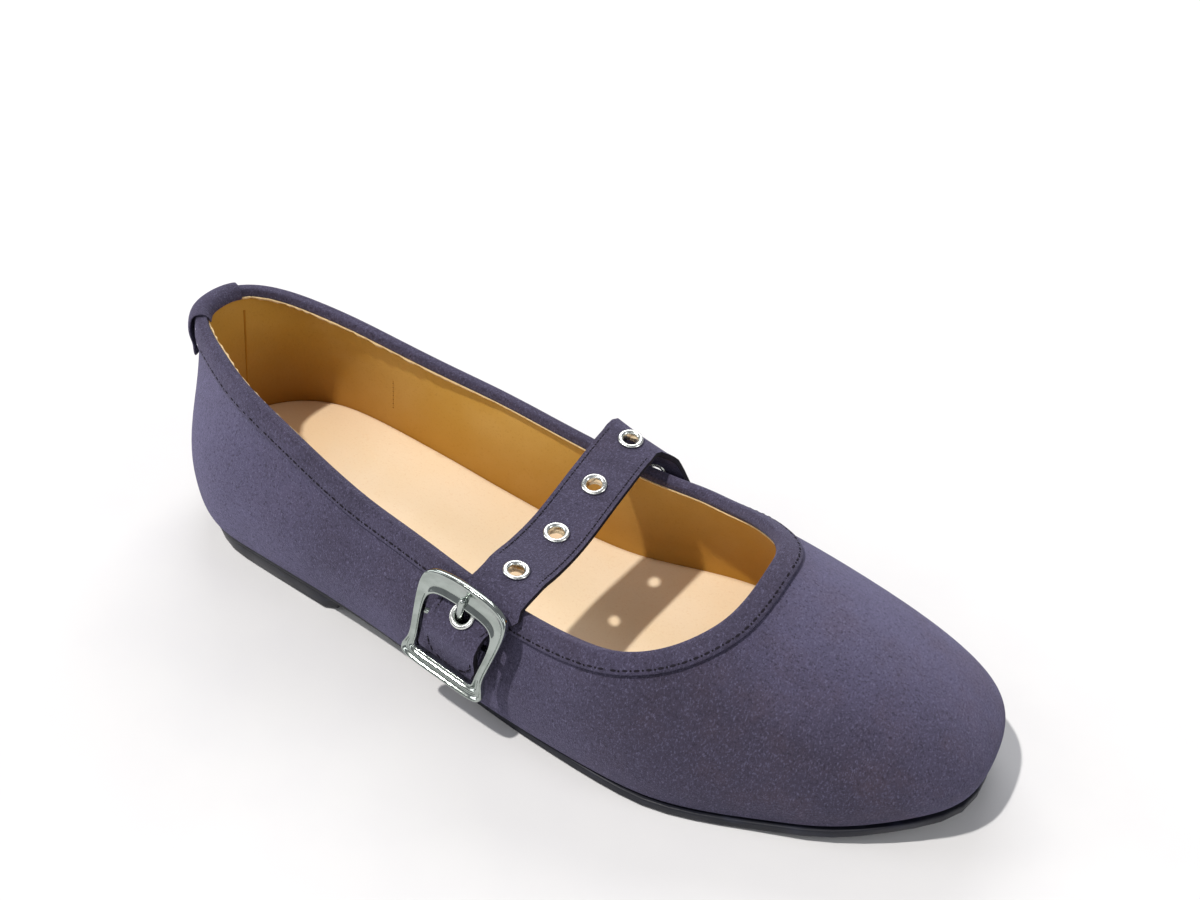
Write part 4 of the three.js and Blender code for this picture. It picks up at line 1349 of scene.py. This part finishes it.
@dataclass
class Studio:
    """The pale floor, the light and the camera at the photograph's angle."""

    materials: Wardrobe
    sun_way: Vector = Vector((0.32, 0.332, -0.887))
    sun_place: Vector = Vector((-0.5, -0.5, 1.4))
    sun_power: float = 2.7
    sun_degrees: float = 2.2
    sun_colour: Triple = (1.0, 0.965, 0.92)
    sky_power: float = 0.28
    sky_colour: Triple = (0.93, 0.94, 1.0)
    middle: Vector = Vector((0.0, 0.0, 0.03))
    floor_half: float = 3.0

    # Soft panels round the shoe, in metres and watts.
    PANELS: Sequence[tuple[str, Triple, tuple[float, float], float]] = (
        # name, place, size, power
        ("panel_front", (0.15, -0.9, 0.6), (0.7, 0.2), 1.2),
        ("panel_toe", (0.9, 0.1, 0.45), (0.3, 0.9), 2.2),
        ("panel_heel", (-0.8, -0.35, 0.5), (0.3, 0.7), 2.0),
        ("panel_back", (-0.38, 0.78, 0.75), (0.9, 0.5), 6.0),
    )

    # The camera: its place, the ways its picture's right and top and its back point, and its
    # lens in millimetres.
    place: Vector = Vector((139.94, -268.42, 309.18)) * MM
    right: Vector = Vector((0.87586, 0.47845, 0.06287))
    rise: Vector = Vector((-0.34286, 0.52531, 0.77878))
    back: Vector = Vector((0.33958, -0.70366, 0.62414))
    lens: float = 45.0

    def build(self) -> None:
        """Lay the floor, set the light and place the camera."""
        self._floor()
        self._light()
        self._camera()

    def _floor(self) -> None:
        """Lay a wide pale floor just under the sole."""
        bm = bmesh.new()
        bmesh.ops.create_grid(bm, x_segments=1, y_segments=1, size=self.floor_half)
        floor = linked("floor", bm, (self.materials.floor,))

    def _light(self) -> None:
        """Set one crisp key light, a wide soft one and a pale surround."""
        bpy.context.scene.view_settings.view_transform = "Standard"
        world = bpy.data.worlds.new("studio")
        bpy.context.scene.world = world
        world.use_nodes = True
        back = world.node_tree.nodes["Background"]
        back.inputs["Color"].default_value = (*self.sky_colour, 1)
        back.inputs["Strength"].default_value = self.sky_power
        key = bpy.data.lights.new("key", "SUN")
        key.energy = self.sun_power
        key.angle = math.radians(self.sun_degrees)
        key.color = self.sun_colour
        self._hang(key, self.sun_place, self.sun_way)
        for name, place, size, power in self.PANELS:
            soft = bpy.data.lights.new(name, "AREA")
            soft.shape = "RECTANGLE"
            soft.size, soft.size_y = size
            soft.energy = power
            self._hang(soft, Vector(place), self.middle - Vector(place))

    def _hang(self, light: Light, place: Vector, way: Vector) -> None:
        """Hang a light so that it shines along a direction."""
        obj = bpy.data.objects.new(light.name, light)
        obj.matrix_world = Matrix.Translation(place) @ way.to_track_quat("-Z", "Y").to_matrix().to_4x4()
        bpy.context.scene.collection.objects.link(obj)

    def _camera(self) -> None:
        """Place the camera at the photograph's angle."""
        data = bpy.data.cameras.new("camera")
        data.lens = self.lens
        data.sensor_width = 36.0
        data.clip_start = 0.01
        camera = bpy.data.objects.new("camera", data)
        camera.matrix_world = axes_at(self.place, self.right, self.rise, self.back)
        bpy.context.scene.collection.objects.link(camera)
        bpy.context.scene.camera = camera


def main() -> None:
    """Build every sub-assembly in order."""
    logging.basicConfig(level=logging.INFO, format="%(message)s")
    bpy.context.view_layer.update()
    materials = Wardrobe()
    Studio(materials).build()
    upper = Upper(materials).build()
    InnerSeams(materials).build(upper)
    band = Binding(materials).build()
    ScuffsAndThreadHighlights(materials).build(band)
    HeelTab(materials).build()
    Sole(materials).build()
    Strap(materials).build()
    Eyelets(materials).build()
    Buckle(materials).build()


if __name__ == "__main__":
    main()
